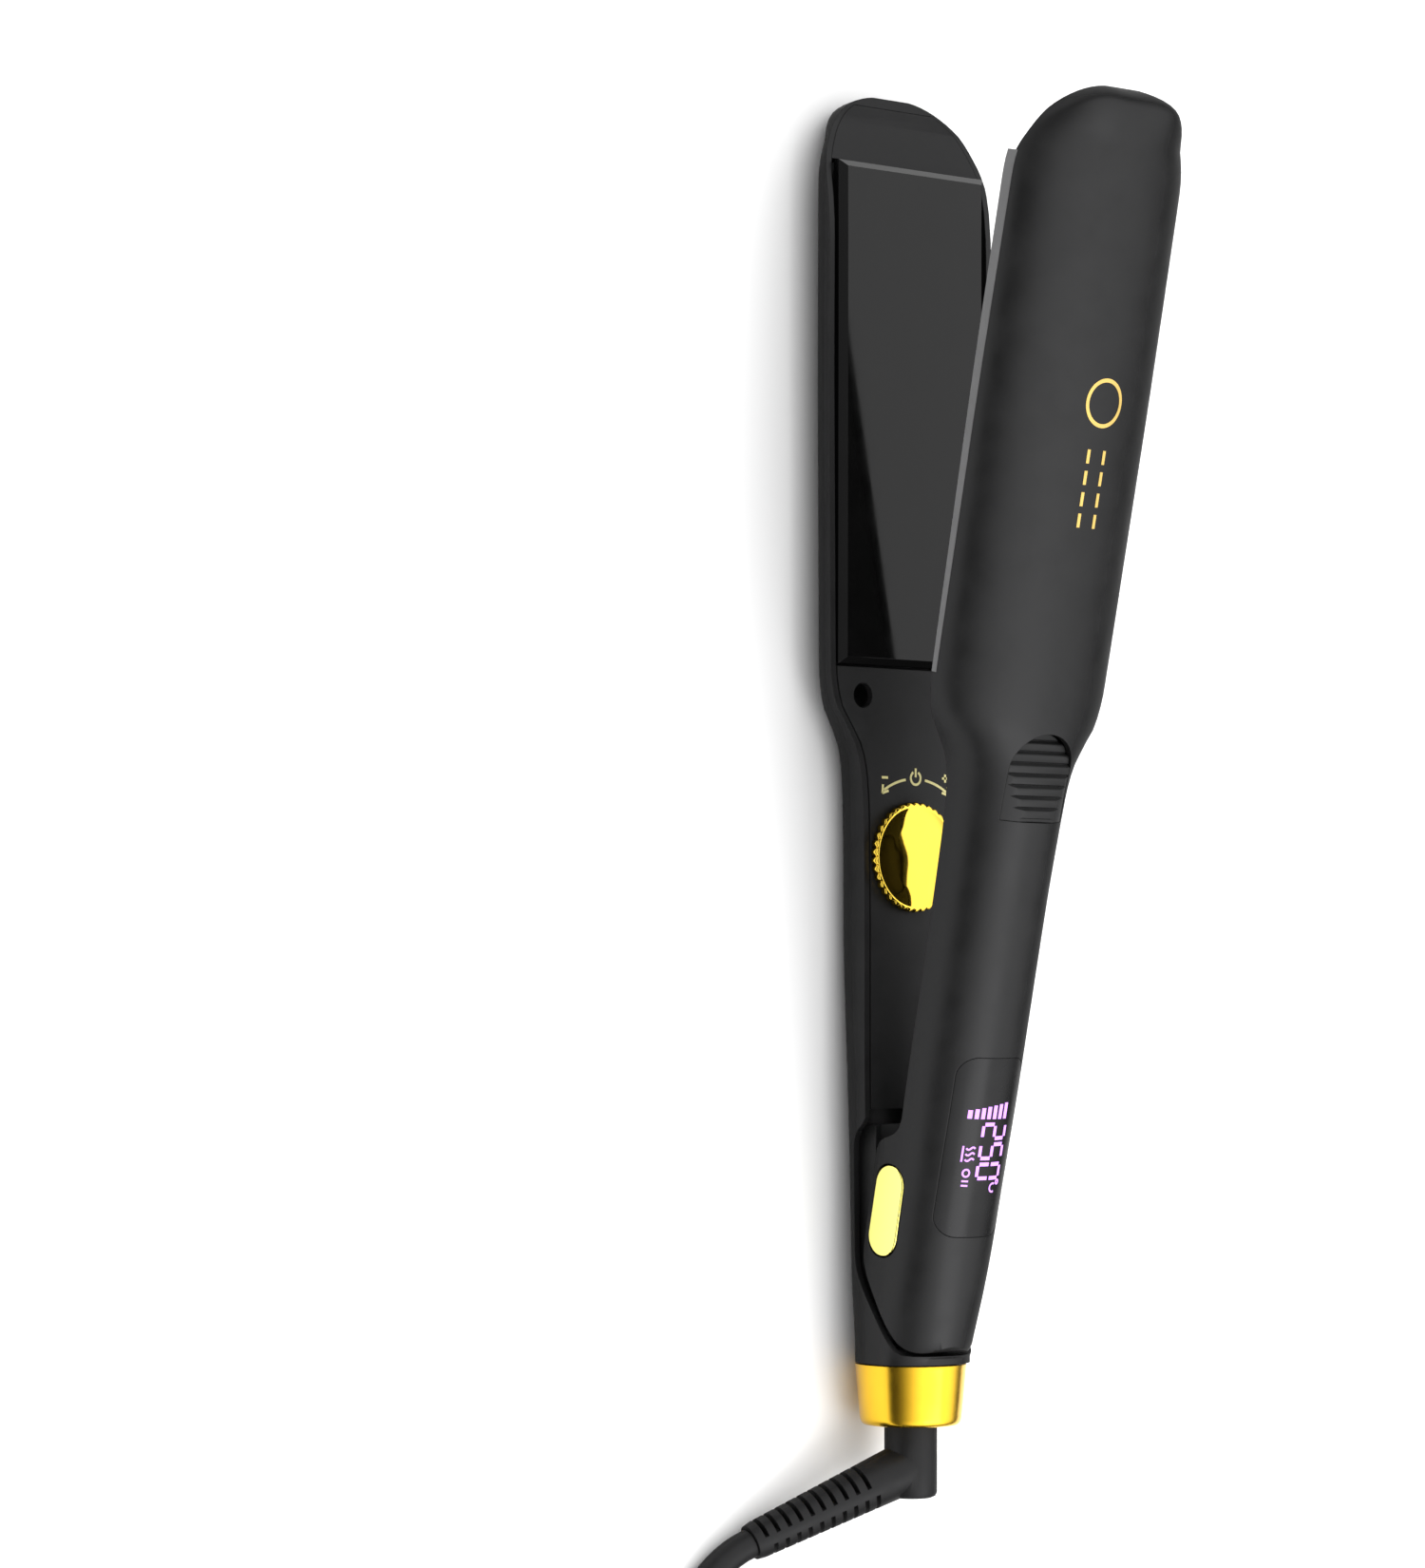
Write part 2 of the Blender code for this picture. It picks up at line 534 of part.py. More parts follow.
def build_dial(bench):
    """Knurled knob, and the encoder it turns. The knob's origin is on its axis."""
    curve = bpy.data.curves.new("dial_knob", "CURVE")
    curve.dimensions = "2D"
    curve.fill_mode = "BOTH"
    curve.extrude = (DIAL_PROUD - 0.3) / 2 * MM
    line = curve.splines.new("POLY")
    count = DIAL_TEETH * 4
    line.points.add(count - 1)
    for k in range(count):
        radius = DIAL_RADIUS if k % 4 < 2 else DIAL_RADIUS - 0.55
        angle = 2 * math.pi * k / count
        line.points[k].co = (radius * MM * math.cos(angle), radius * MM * math.sin(angle), 0, 1)
    line.use_cyclic_u = True
    knob = solid_from_curve("dial_knob", curve)
    knob.location = place(0, DIAL_S, DIAL_PROUD / 2 + 0.15)
    bench.part(knob, "gold")
    stem = rod("dial_stem", (0, DIAL_S, -1.2), 3.0, 4.2, "z", 16)
    cut(knob, bench.tool(stem), "UNION")
    bench.part(box("dial_encoder", (-6, 6), (DIAL_S - 6, DIAL_S + 6), (-8.6, -3.7)), "inner")


def build_electronics(bench):
    bench.part(box("control_board", (-6.2, 6.2), (160, 221), (-10.4, -9.0)), "board")
    bench.part(box("switching_triac", (-5, 5), (184, 199), (-8.7, -4.4)), "inner")
    bench.part(rod("mains_capacitor", (0, 209, -5.4), 3.4, 12, "s", 16), "steel")


def build_hinge(bench):
    housing = bench.part(box("lower_hinge_housing", (-10, 10), (229, 277), (-7.6, 4.6)), "inner")
    cut(housing, bench.tool(box("housing_channel", (-8.5, 8.5), (220, 290), (-6.2, 20))))
    crest = [(220, -0.3), (261, -0.3), (264.2, 4.0), (265.5, 4.8), (272.5, 4.8), (273.4, 2.0), (290, -1.5),
             (290, 20), (220, 20)]
    cut(housing, bench.tool(outline_solid("housing_crest", crest, -20, 20, "side")))
    cut(housing, bench.tool(iron_form("housing_limit", WALL + FIT, 222.0, 279.0)), "INTERSECT")
    cut(housing, bench.tool(rod("housing_pin_hole", (0, PIVOT_S, PIVOT_Z), 1.85, 40, "x")))
    pin = turned("hinge_pin", [(0, 9.9), (1.5, 9.9), (1.5, -9.9), (0, -9.9)],
                 (0, PIVOT_S, PIVOT_Z), "x", 16)
    bench.part(pin, "steel")
    pivot = bench.pivot
    bracket = bench.part(box("upper_hinge_bracket", (-8.1, 8.1), (256, 272.4), (-3, 10.6)), "steel", pivot)
    cut(bracket, bench.tool(box("bracket_channel", (-6.5, 6.5), (250, 280), (-10, 9.6)), pivot))
    lug = [(250, 11), (255, 11)] + [(264.6, 4.0), (265.2, 0)]
    lug += arc((PIVOT_S, PIVOT_Z), 3.9, 200, 340, 8) + [(273.2, 11.2), (284, 13), (284, -9), (250, -9)]
    cut(bracket, bench.tool(outline_solid("bracket_lugs", lug, -20, 20, "side"), pivot))
    cut(bracket, bench.tool(rod("bracket_pin_hole", (0, PIVOT_S, PIVOT_Z), 2.9, 40, "x"), pivot))
    for name, side in (("left", -1), ("right", 1)):
        ring = [(1.8, 0.75), (2.6, 0.75), (2.6, -0.75), (1.8, -0.75)]
        bush = turned(f"hinge_bush_{name}", ring, (side * 7.3, PIVOT_S, PIVOT_Z), "x", 16)
        bench.part(bush, "brass", pivot)
    build_spring(bench)


def build_spring(bench):
    """Torsion spring round the hinge pin with one leg under the upper arm."""
    turns, per_turn, radius, pitch = 4, 14, 3.1, 1.3
    centre = place(0, PIVOT_S, PIVOT_Z)
    half = turns * pitch / 2
    coil = []
    for k in range(turns * per_turn + 1):
        angle = 2 * math.pi * k / per_turn
        coil.append(centre + Vector((k / per_turn * pitch - half, radius * math.sin(angle),
                                     radius * math.cos(angle))) * MM)
    first = coil[0] + Vector((0, -2.6, 0.2)) * MM
    last = coil[-1] + Vector((0, 9.0, 1.6)) * MM
    points = [first] + coil + [last]
    bench.part(pipe("hinge_spring", points, [0.5] * len(points), 1), "steel")


def build_tail(bench):
    collar = [(12.3, 281.6), (12.25, 282.4), (11.25, 293.4), (10.7, 295.0), (6.15, 295.0), (6.15, 292.8),
              (10.5, 291.4), (10.5, 281.6)]
    ring = turned("end_collar", [(r, s - 288) for r, s in collar], (0, 288, 0), "s", 40)
    shade(bench.part(ring, "gold"), 30)
    socket = [(8.1, 283.9), (8.1, 290.8), (4.4, 290.8), (4.4, 283.9)]
    bench.part(turned("swivel_socket", [(r, s - 288) for r, s in socket], (0, 288, 0), "s", 24), "inner")
    tail = bench.tail
    plug = [(0, 281.0), (7.4, 281.0), (7.4, 283.6), (4.1, 283.6), (4.1, 291.3), (0, 291.3)]
    plug_item = turned("swivel_plug", [(r, s - 288) for r, s in plug], (0, 288, 0), "s", 24)
    bench.part(plug_item, "brass", tail)
    elbow = Vector((0, STUB_END, 0))
    start = Vector((0, 291.6, 0))
    route = [start, elbow - Vector((0, ELBOW_CUT, 0)), elbow + RELIEF_DIRECTION * ELBOW_CUT]
    route += [elbow + RELIEF_DIRECTION * RELIEF_LENGTH * t for t in (0.30, 0.62, 1.0)]
    radii = [STUB_RADIUS, STUB_RADIUS, STUB_RADIUS, 5.4, 4.8, 4.2]
    bench.part(pipe("strain_relief", [place(*p) for p in route], radii, 4), "cord", tail)


def smooth_route(route, spacing):
    """Points about spacing apart on a Catmull-Rom curve through route, in world metres."""
    nodes = [place(x, s, z - BACK) for x, s, z in route]
    nodes = [2 * nodes[0] - nodes[1]] + nodes + [2 * nodes[-1] - nodes[-2]]
    points = []
    for a, b, c, d in zip(nodes, nodes[1:], nodes[2:], nodes[3:]):
        steps = max(1, round((c - b).length / (spacing * MM)))
        for k in range(steps):
            t = k / steps
            points.append(0.5 * (2 * b + (c - a) * t + (2 * a - 5 * b + 4 * c - d) * t * t
                                 + (3 * b - a - 3 * c + d) * t ** 3))
    return points + [nodes[-2]]


def build_cord(bench):
    for name, route in (("cord_lead", LEAD_ROUTE), ("cord_end", TAIL_ROUTE)):
        points = smooth_route(route, 8.0)
        bench.part(pipe(name, points, [CORD_RADIUS] * len(points), 2), "cord")
    low, high = COIL_BASE, COIL_BASE + COIL_HEIGHT
    ring = [(COIL_OUTER - 2, high), (COIL_OUTER, high - 2), (COIL_OUTER, low + 2), (COIL_OUTER - 2, low),
            (COIL_INNER + 2, low), (COIL_INNER, low + 2), (COIL_INNER, high - 2), (COIL_INNER + 2, high)]
    bench.part(turned("cord_coil", ring, (COIL_X, COIL_S, -BACK), "z", 36), "cord")
    near, far = COIL_S - COIL_OUTER - FIT - 0.7, COIL_S - COIL_INNER + FIT + 0.7
    across = (COIL_X - TIE_HALF, COIL_X + TIE_HALF)
    tie = bench.part(box("coil_tie", across, (near - TIE_THICK, far + TIE_THICK),
                         (-BACK, -BACK + high + FIT + TIE_THICK)), "cord")
    cut(tie, bench.tool(box("tie_inside", (COIL_X - 2 * TIE_HALF, COIL_X + 2 * TIE_HALF), (near, far),
                            (-BACK + TIE_THICK, -BACK + high + FIT))))


def build_plug(bench):
    front = PLUG_S - PLUG_LONG / 2
    height = PLUG_Z - BACK
    outline = [(-7, front), (7, front), (PLUG_HALF_WIDE, front + 7), (PLUG_HALF_WIDE, front + 18),
               (6.4, front + PLUG_LONG), (-6.4, front + PLUG_LONG), (-PLUG_HALF_WIDE, front + 18),
               (-PLUG_HALF_WIDE, front + 7)]
    outline = [(PLUG_X + x, s) for x, s in outline]
    body = outline_solid("plug_body", outline, height - PLUG_HALF_THICK, height + PLUG_HALF_THICK, "plan")
    bevel(bench.part(body, "cord"), 1.8)
    for name, side in (("left", -1), ("right", 1)):
        middle = (PLUG_X + side * PIN_APART / 2, front - PIN_LONG / 2 - FIT, height)
        pin = rod(f"plug_pin_{name}", middle, PIN_RADIUS, PIN_LONG, "s", 16)
        bench.part(pin, "brass")


def main():
    clear_scene()
    bench = Bench()
    build_lower_shell(bench)
    build_upper_shell(bench)
    build_pills(bench)
    build_thumb_grip(bench)
    build_display(bench)
    for arm, side, parent in (("lower", -1, None), ("upper", 1, bench.pivot)):
        build_plate(bench, f"{arm}_plate", side, parent)
        heat_stack(bench, arm, side, parent)
        build_carrier(bench, arm, side, parent)
    build_covers(bench)
    build_dial(bench)
    build_electronics(bench)
    build_hinge(bench)
    build_tail(bench)
    build_cord(bench)
    build_plug(bench)
    bench.pivot.rotation_euler = (OPEN_ANGLE, 0.0, 0.0)


main()
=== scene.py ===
import math

import bmesh
import bpy
from mathutils import Matrix, Vector


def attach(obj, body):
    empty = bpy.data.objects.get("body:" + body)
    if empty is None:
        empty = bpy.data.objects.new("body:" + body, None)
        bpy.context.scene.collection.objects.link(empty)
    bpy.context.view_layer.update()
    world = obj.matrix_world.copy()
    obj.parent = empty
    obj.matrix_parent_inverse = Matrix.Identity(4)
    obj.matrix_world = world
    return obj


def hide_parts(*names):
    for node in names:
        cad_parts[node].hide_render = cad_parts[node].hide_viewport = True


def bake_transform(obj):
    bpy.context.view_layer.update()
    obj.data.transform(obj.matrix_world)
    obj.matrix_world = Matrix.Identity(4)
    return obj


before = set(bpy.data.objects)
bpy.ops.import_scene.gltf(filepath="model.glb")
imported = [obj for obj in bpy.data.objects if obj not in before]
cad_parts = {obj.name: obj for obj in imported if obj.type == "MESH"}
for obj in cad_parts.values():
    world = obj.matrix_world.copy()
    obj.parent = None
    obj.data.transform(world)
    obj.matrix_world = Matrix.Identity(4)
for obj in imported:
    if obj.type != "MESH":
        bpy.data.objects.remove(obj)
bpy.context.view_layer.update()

# Lengths are millimetres until place() turns them into metres: x across the iron, s from the
# nose towards the tail, z above the axis of the round tail.  The upper arm is made closed and
# then turned open about its pivot.
MM = 0.001

# Driving dimensions, as in the part
LENGTH, BACK, RIM_GAP, WALL, FIT = 295.0, 14.2, 3.0, 1.5, 0.3
PIVOT_S, PIVOT_Z = 269.0, RIM_GAP / 2
OPEN_ANGLE = math.radians(12.3)
WIDTH = [(0, 24.0), (60, 24.2), (100, 23.9), (129, 23.6), (136, 22.4), (141.5, 18.9), (146.5, 16.0),
         (152.5, 14.6), (162, 14.0), (185, 13.75), (215, 13.7), (240, 13.2), (262, 12.9),
         (279.4, 12.3), (282, 12.3)]
LOWER_DEPTH = [(0, 14.5), (185, 14.5), (205, 14.0), (225, 13.5), (262, 12.8), (279.4, 12.3),
               (282, 12.3)]
UPPER_DEPTH = [(0, 14.5), (150, 14.5), (175, 13.8), (250, 13.4), (276, 12.6), (279.4, 9.3),
               (282, 9.3)]
LOWER_SQUARE = [(0, 2.1), (130, 2.1), (160, 2.45), (185, 2.45), (225, 2.15), (262, 2.1),
                (279.4, 2.0), (282, 2.0)]
UPPER_SQUARE = [(0, 2.1), (130, 2.1), (165, 2.35), (250, 2.3), (279.4, 2.0), (282, 2.0)]
NOSE_PLAN, NOSE_PLAN_POWER = 22.0, 2.2
NOSE_EDGE, NOSE_EDGE_POWER = 5.0, 2.4
NOSE_SQUARE, NOSE_SQUARE_GAIN, NOSE_SQUARE_POWER = 12.0, 3.0, 1.6
NOSE_FLAT = 0.5
NOSE_FALL = [(-6, 7.5), (0, 7.0), (3, 6.0), (6.5, 4.6), (10, 3.7), (14, 2.6), (18, 1.6), (24, 0.6),
             (30, 0.1), (34, 0.0)]
UPPER_CHEEK = [(226, RIM_GAP), (228.6, 2.4), (230.2, 0.8), (231.2, -1.2), (232.6, -3.6), (234.6, -4.5),
               (237, -4.6), (255.5, -4.6), (258.8, -4.1), (261.2, -2.8), (273.5, 7.5), (276.0, 10.4),
               (276.5, 12.6), (275.7, 14.6), (273.6, 16.4), (273.4, 24)]
LOWER_CHEEK = [(227.4, 0), (229, -1.2), (230.4, -3.2), (232.4, -4.7), (235.5, -5.1), (256.5, -5.1),
               (259.8, -4.7), (262.2, -3.5), (275.8, 5.3), (278.6, 7.4), (279.4, 9.5), (279.4, 24)]

PLATE_START, PLATE_END, TRAY_END = 16.5, 127.8, 128.0
DIAL_S, DIAL_RADIUS, DIAL_TEETH, TOOTH_DEPTH = 170.0, 12.2, 38, 0.55
PILL_S, PILL_Z, PILL_LONG, PILL_WIDE = 247.0, 1.6, 20.2, 9.0
LENS_S, LENS_LONG, LENS_HALF, LENS_CORNER = 229.6, 39.9, 9.5, 4.5
GRIP_TOP, GRIP_END, GRIP_HALF, GRIP_RIDGES = 137.3, 157.5, 8.9, 8
SPIGOT_RADIUS, BORE_RADIUS = 10.2, 8.4
STUB_RADIUS, STUB_END, STUB_TIP = 5.85, 304.0, 311.0
RELIEF_LENGTH, RELIEF_TIP, RELIEF_MOUTH = 42.0, 4.2, 3.9      # radii of the sleeve's end and its rim
SLITS, SLIT_START, SLIT_PITCH, SLIT_WIDE, SLIT_ASIDE = 10, 12.0, 2.9, 1.0, 5.1
RELIEF_DIRECTION = Vector((-0.905, 0.362, -0.226)).normalized()

# Cord
CORD_RADIUS = 3.25
COIL_X, COIL_S, COIL_INNER, COIL_OUTER, COIL_TOP = -6.4, 396.0, 22.6, 55.4, 13.4
LEAD_ROUTE = [(-38.4, 319.4, 4.75), (-41.6, 320.8, 4.25), (-45.5, 323.3, 3.75), (-49.6, 326.9, 3.45),
              (-53.2, 331.4, 3.3), (-56.0, 336.8, 3.3), (-57.7, 342.8, 3.3), (-58.4, 349.5, 3.3),
              (-58.4, 357.0, 3.3), (-58.4, 364.0, 3.5), (-58.4, 371.0, 3.8), (-58.4, 379.0, 4.15),
              (-58.4, 387.0, 4.35)]
TAIL_ROUTE = [(7.2, 443.8, 15.3), (14.0, 441.0, 16.4), (19.8, 436.5, 17.5), (24.2, 430.8, 18.6),
              (27.0, 424.0, 19.6), (28.0, 416.8, 20.4), (28.0, 410.6, 20.9), (28.0, 406.0, 21.0)]
TAIL_HEIGHT = 14.2          # of the coil's last point, where the tail climbs onto it
LOW_LAYER, HIGH_LAYER = 4.35, 10.95
LOW_RADII, HIGH_RADII, LAST_RADIUS = (52.0, 45.5, 39.0, 32.5, 26.0), (29.25, 35.75, 42.25), 48.75
TURN_POINTS = 48
CROSS_START, CROSS_SPAN = 0.83, 0.165     # share of a turn in which the cord steps to the next
TIE_HALF, TIE_THICK = 5.0, 1.1
PLUG_X, PLUG_S, PLUG_Z, PLUG_LONG = 28.0, 391.0, 21.0, 34.0
PLUG_BOOT = 26.0            # along the plug, where its flat body becomes the round boot

NODE_EDGE, NODE_EDGE_ANGLE = 0.12, 40
SEAM = 0.08                 # what shows between inserts that are pressed into a shell
PLASTIC_RIM = 0.1           # specular tint of black plastic, which keeps its edges from glowing
PRINT_THICK = 0.06
WELD = 1e-7                 # metres
SIDE_REACH, FAR_REACH = 40, 60     # how far from the axis cutters reach, sideways and in height
# Stations where the shells' hollows start and end, and where the upper skin ends
HOLLOW_START, UPPER_HOLLOW_END, LOWER_HOLLOW_END = 2.4, 274.4, 278.0
UPPER_SKIN_END = 279.0
TRAY_CUT_END = 140

# Fineness of the visual surfaces
ARC_STEPS = 40
STATION_STEP = 2.5
RELIEF_STEPS = 24
PATH_STEPS = 4
SOFT_SIDES = 48

# Printing: widths of the lines, and where the figures, bars and ornament lie
MARK_LINE, BAR_LINE, DIGIT_LINE, ICON_LINE, ORNAMENT_LINE = 0.55, 1.05, 0.85, 0.42, 0.85
BAR_COUNT, BAR_X, BAR_PITCH, BAR_FOOT_S, BAR_SHORTEST, BAR_GROWTH = 7, -5.6, 1.65, 223.1, 1.9, 0.28
DIGIT_X, DIGIT_S, DIGIT_PITCH, DIGIT_HIGH, DIGIT_WIDE = -1.7, 224.3, 4.45, 6.8, 3.1
ORNAMENT_RING, ORNAMENT_RADIUS, ORNAMENT_COLUMNS = (1.3, 66.4), 4.9, (-1.2, 3.4)
ORNAMENT_BARS, ORNAMENT_BAR_S, ORNAMENT_BAR_PITCH, ORNAMENT_BAR_LONG = 4, 76.5, 4.6, 3.0


# ---------------------------------------------------------------- shape helpers
def place(x, s, z):
    return Vector((x * MM, (LENGTH / 2 - s) * MM, (BACK + z) * MM))


def smooth(table, s):
    """Value at s of a smooth curve through the (s, value) pairs, without overshoot."""
    if s <= table[0][0]:
        return table[0][1]
    for (s0, v0), (s1, v1) in zip(table, table[1:]):
        if s <= s1:
            break
    else:
        return table[-1][1]
    index = table.index((s0, v0))
    slopes = []
    for k in (index, index + 1):
        if k == 0 or k == len(table) - 1:
            slopes.append(0.0)
            continue
        before = (table[k][1] - table[k - 1][1]) / (table[k][0] - table[k - 1][0])
        after = (table[k + 1][1] - table[k][1]) / (table[k + 1][0] - table[k][0])
        both = before * after
        slopes.append(2 * both / (before + after) if both > 0 else 0.0)
    span = s1 - s0
    t = (s - s0) / span
    return ((1 + 2 * t) * (1 - t) ** 2 * v0 + t * t * (3 - 2 * t) * v1
            + span * (t * (1 - t) ** 2 * slopes[0] - t * t * (1 - t) * slopes[1]))


def nose_factor(s, length, power):
    left = max(0.0, 1.0 - (s + NOSE_FLAT) / length)
    return (1.0 - left ** power) ** (1.0 / power)


def half_width(s):
    return smooth(WIDTH, s) * nose_factor(s, NOSE_PLAN, NOSE_PLAN_POWER)


def arm_shape(s, side, inset):
    """Depth and curve power of one arm's back at s."""
    depths, squares = (LOWER_DEPTH, LOWER_SQUARE) if side < 0 else (UPPER_DEPTH, UPPER_SQUARE)
    nose = NOSE_SQUARE_GAIN * max(0.0, 1.0 - s / NOSE_SQUARE) ** NOSE_SQUARE_POWER
    depth = smooth(depths, s) * nose_factor(s, NOSE_EDGE, NOSE_EDGE_POWER) - inset
    return depth, 2.0 / (smooth(squares, s) + nose)


def section(s, inset):
    """Ring of (x, z) points round the closed iron at s, drawn in by inset."""
    half = half_width(s) - inset
    ring = []
    for side in (-1, 1):
        depth, power = arm_shape(s, side, inset)
        rim = 0.0 if side < 0 else RIM_GAP
        limit = BACK - inset if side < 0 else depth
        for k in range(ARC_STEPS + 1):
            angle = math.pi * k / ARC_STEPS
            across, down = math.cos(angle), math.sin(angle)
            x = half * math.copysign(abs(across) ** power, across) * side
            ring.append((x, rim + side * min(depth * abs(down) ** power, limit)))
    return ring


def back_of_upper(x, s):
    """Height of the upper arm's outer surface at (x, s), with the arms closed."""
    depth, power = arm_shape(s, 1, 0.0)
    across = min(1.0, abs(x) / half_width(s)) ** (1 / power)
    return RIM_GAP + depth * math.sqrt(max(0.0, 1 - across * across)) ** power


def link(item):
    bpy.context.scene.collection.objects.link(item)
    return item


def mesh_object(name, data):
    bmesh.ops.remove_doubles(data, verts=data.verts, dist=WELD)
    bmesh.ops.recalc_face_normals(data, faces=data.faces)
    mesh = bpy.data.meshes.new(name)
    data.to_mesh(mesh)
    data.free()
    return link(bpy.data.objects.new(name, mesh))


def loft(name, rings, looped=False):
    """Closed surface through rings of world points that all have the same count."""
    data = bmesh.new()
    rows = [[data.verts.new(p) for p in ring] for ring in rings]
    count = len(rows[0])
    pairs = list(zip(rows, rows[1:])) + ([(rows[-1], rows[0])] if looped else [])
    for near, far in pairs:
        for k in range(count):
            nxt = (k + 1) % count
            data.faces.new((near[k], near[nxt], far[nxt], far[k]))
    if not looped:
        data.faces.new(rows[0])
        data.faces.new(rows[-1][::-1])
    return mesh_object(name, data)


def iron_form(name, inset=0.0, start=0.0, end=281.3):
    """Loft of the whole closed iron between two stations, drawn in by inset."""
    nose = [0.08 * k * k for k in range(16)]
    body = [20 + STATION_STEP * k for k in range(int(262 / STATION_STEP) + 1)]
    stations = [start] + [s for s in nose + body if start + 0.3 < s < end - 0.3] + [end]
    return loft(name, [[place(x, s, z) for x, z in section(s, inset)] for s in stations])


def outline_solid(name, outline, low, high, plane):
    """Flat outline given thickness. plane 'side' takes (s, z), plane 'plan' takes (x, s)."""
    rings = []
    for depth in (low, high):
        if plane == "side":
            rings.append([place(depth, a, b) for a, b in outline])
        else:
            rings.append([place(a, b, depth) for a, b in outline])
    return loft(name, rings)


def rod(name, centre, radius, length, axis, sides=64):
    data = bmesh.new()
    bmesh.ops.create_cone(data, cap_ends=True, segments=sides, radius1=radius * MM, radius2=radius * MM,
                          depth=length * MM)
    turns = {"x": Matrix.Rotation(math.pi / 2, 4, "Y"), "s": Matrix.Rotation(math.pi / 2, 4, "X"),
             "z": Matrix.Identity(4)}
    bmesh.ops.transform(data, matrix=Matrix.Translation(place(*centre)) @ turns[axis], verts=data.verts)
    return mesh_object(name, data)


def turned_about_s(name, profile, steps=96):
    """Closed (radius, s) profile turned about the tail's axis."""
    rings = []
    for k in range(steps):
        angle = 2 * math.pi * k / steps
        rings.append([place(r * math.cos(angle), s, r * math.sin(angle)) for r, s in profile])
    return loft(name, rings, looped=True)


def arc(centre, radius, start, end, steps):
    angles = [math.radians(start + (end - start) * k / steps) for k in range(steps + 1)]
    return [(centre[0] + radius * math.cos(a), centre[1] + radius * math.sin(a)) for a in angles]


def rounded_outline(centre, half_a, half_b, corner, steps=12):
    a, b = half_a - corner, half_b - corner
    points = []
    for sign_a, sign_b, start in ((1, 1, 0), (-1, 1, 90), (-1, -1, 180), (1, -1, 270)):
        points += arc((centre[0] + sign_a * a, centre[1] + sign_b * b), corner, start, start + 90, steps)
    return points


def rounded_corners(points, rounds=2):
    """The same polyline with its corners cut round; its ends stay."""
    for _ in range(rounds):
        cut_points = [points[0]]
        for (a0, b0), (a1, b1) in zip(points, points[1:]):
            cut_points += [(0.75 * a0 + 0.25 * a1, 0.75 * b0 + 0.25 * b1),
                           (0.25 * a0 + 0.75 * a1, 0.25 * b0 + 0.75 * b1)]
        points = cut_points + [points[-1]]
    return points


def baked(item, steps):
    """Item after its Boolean steps [(operation, cutter)], with the cutters removed."""
    for operation, cutter in steps:
        change = item.modifiers.new(cutter.name, "BOOLEAN")
        change.object, change.operation, change.solver = cutter, operation, "EXACT"
    depsgraph = bpy.context.evaluated_depsgraph_get()
    mesh = bpy.data.meshes.new_from_object(item.evaluated_get(depsgraph))
    item.modifiers.clear()
    item.data = mesh
    for _, cutter in steps:
        bpy.data.objects.remove(cutter, do_unlink=True)
    return item


def shade(item, angle=32):
    item.data.shade_smooth()
    item.data.set_sharp_from_angle(angle=math.radians(angle))
    return item


def opened(item):
    """Turns a piece of the closed upper arm open about the pivot."""
    pivot = place(0, PIVOT_S, PIVOT_Z)
    turn = Matrix.Translation(pivot) @ Matrix.Rotation(OPEN_ANGLE, 4, "X") @ Matrix.Translation(-pivot)
    item.data.transform(turn)
    return item


def tube(name, points, radii, sides=20):
    """Closed round tube through world points, without twist."""
    rings = []
    forward = (points[1] - points[0]).normalized()
    across = forward.orthogonal().normalized()
    for k, (point, radius) in enumerate(zip(points, radii)):
        ahead = points[min(k + 1, len(points) - 1)] - points[max(k - 1, 0)]
        ahead.normalize()
        across = (across - ahead * across.dot(ahead)).normalized()
        up = ahead.cross(across)
        rings.append([point + (across * math.cos(a) + up * math.sin(a)) * radius * MM
                      for a in (2 * math.pi * j / sides for j in range(sides))])
    return loft(name, rings)


def through(points, steps):
    """Catmull-Rom points through a route, steps for each stretch."""
    ends = [2 * points[0] - points[1]] + points + [2 * points[-1] - points[-2]]
    made = []
    for a, b, c, d in zip(ends, ends[1:], ends[2:], ends[3:]):
        for k in range(steps):
            t = k / steps
            made.append(0.5 * (2 * b + (c - a) * t + (2 * a - 5 * b + 4 * c - d) * t * t
                               + (3 * b - a - 3 * c + d) * t ** 3))
    return made + [points[-1]]


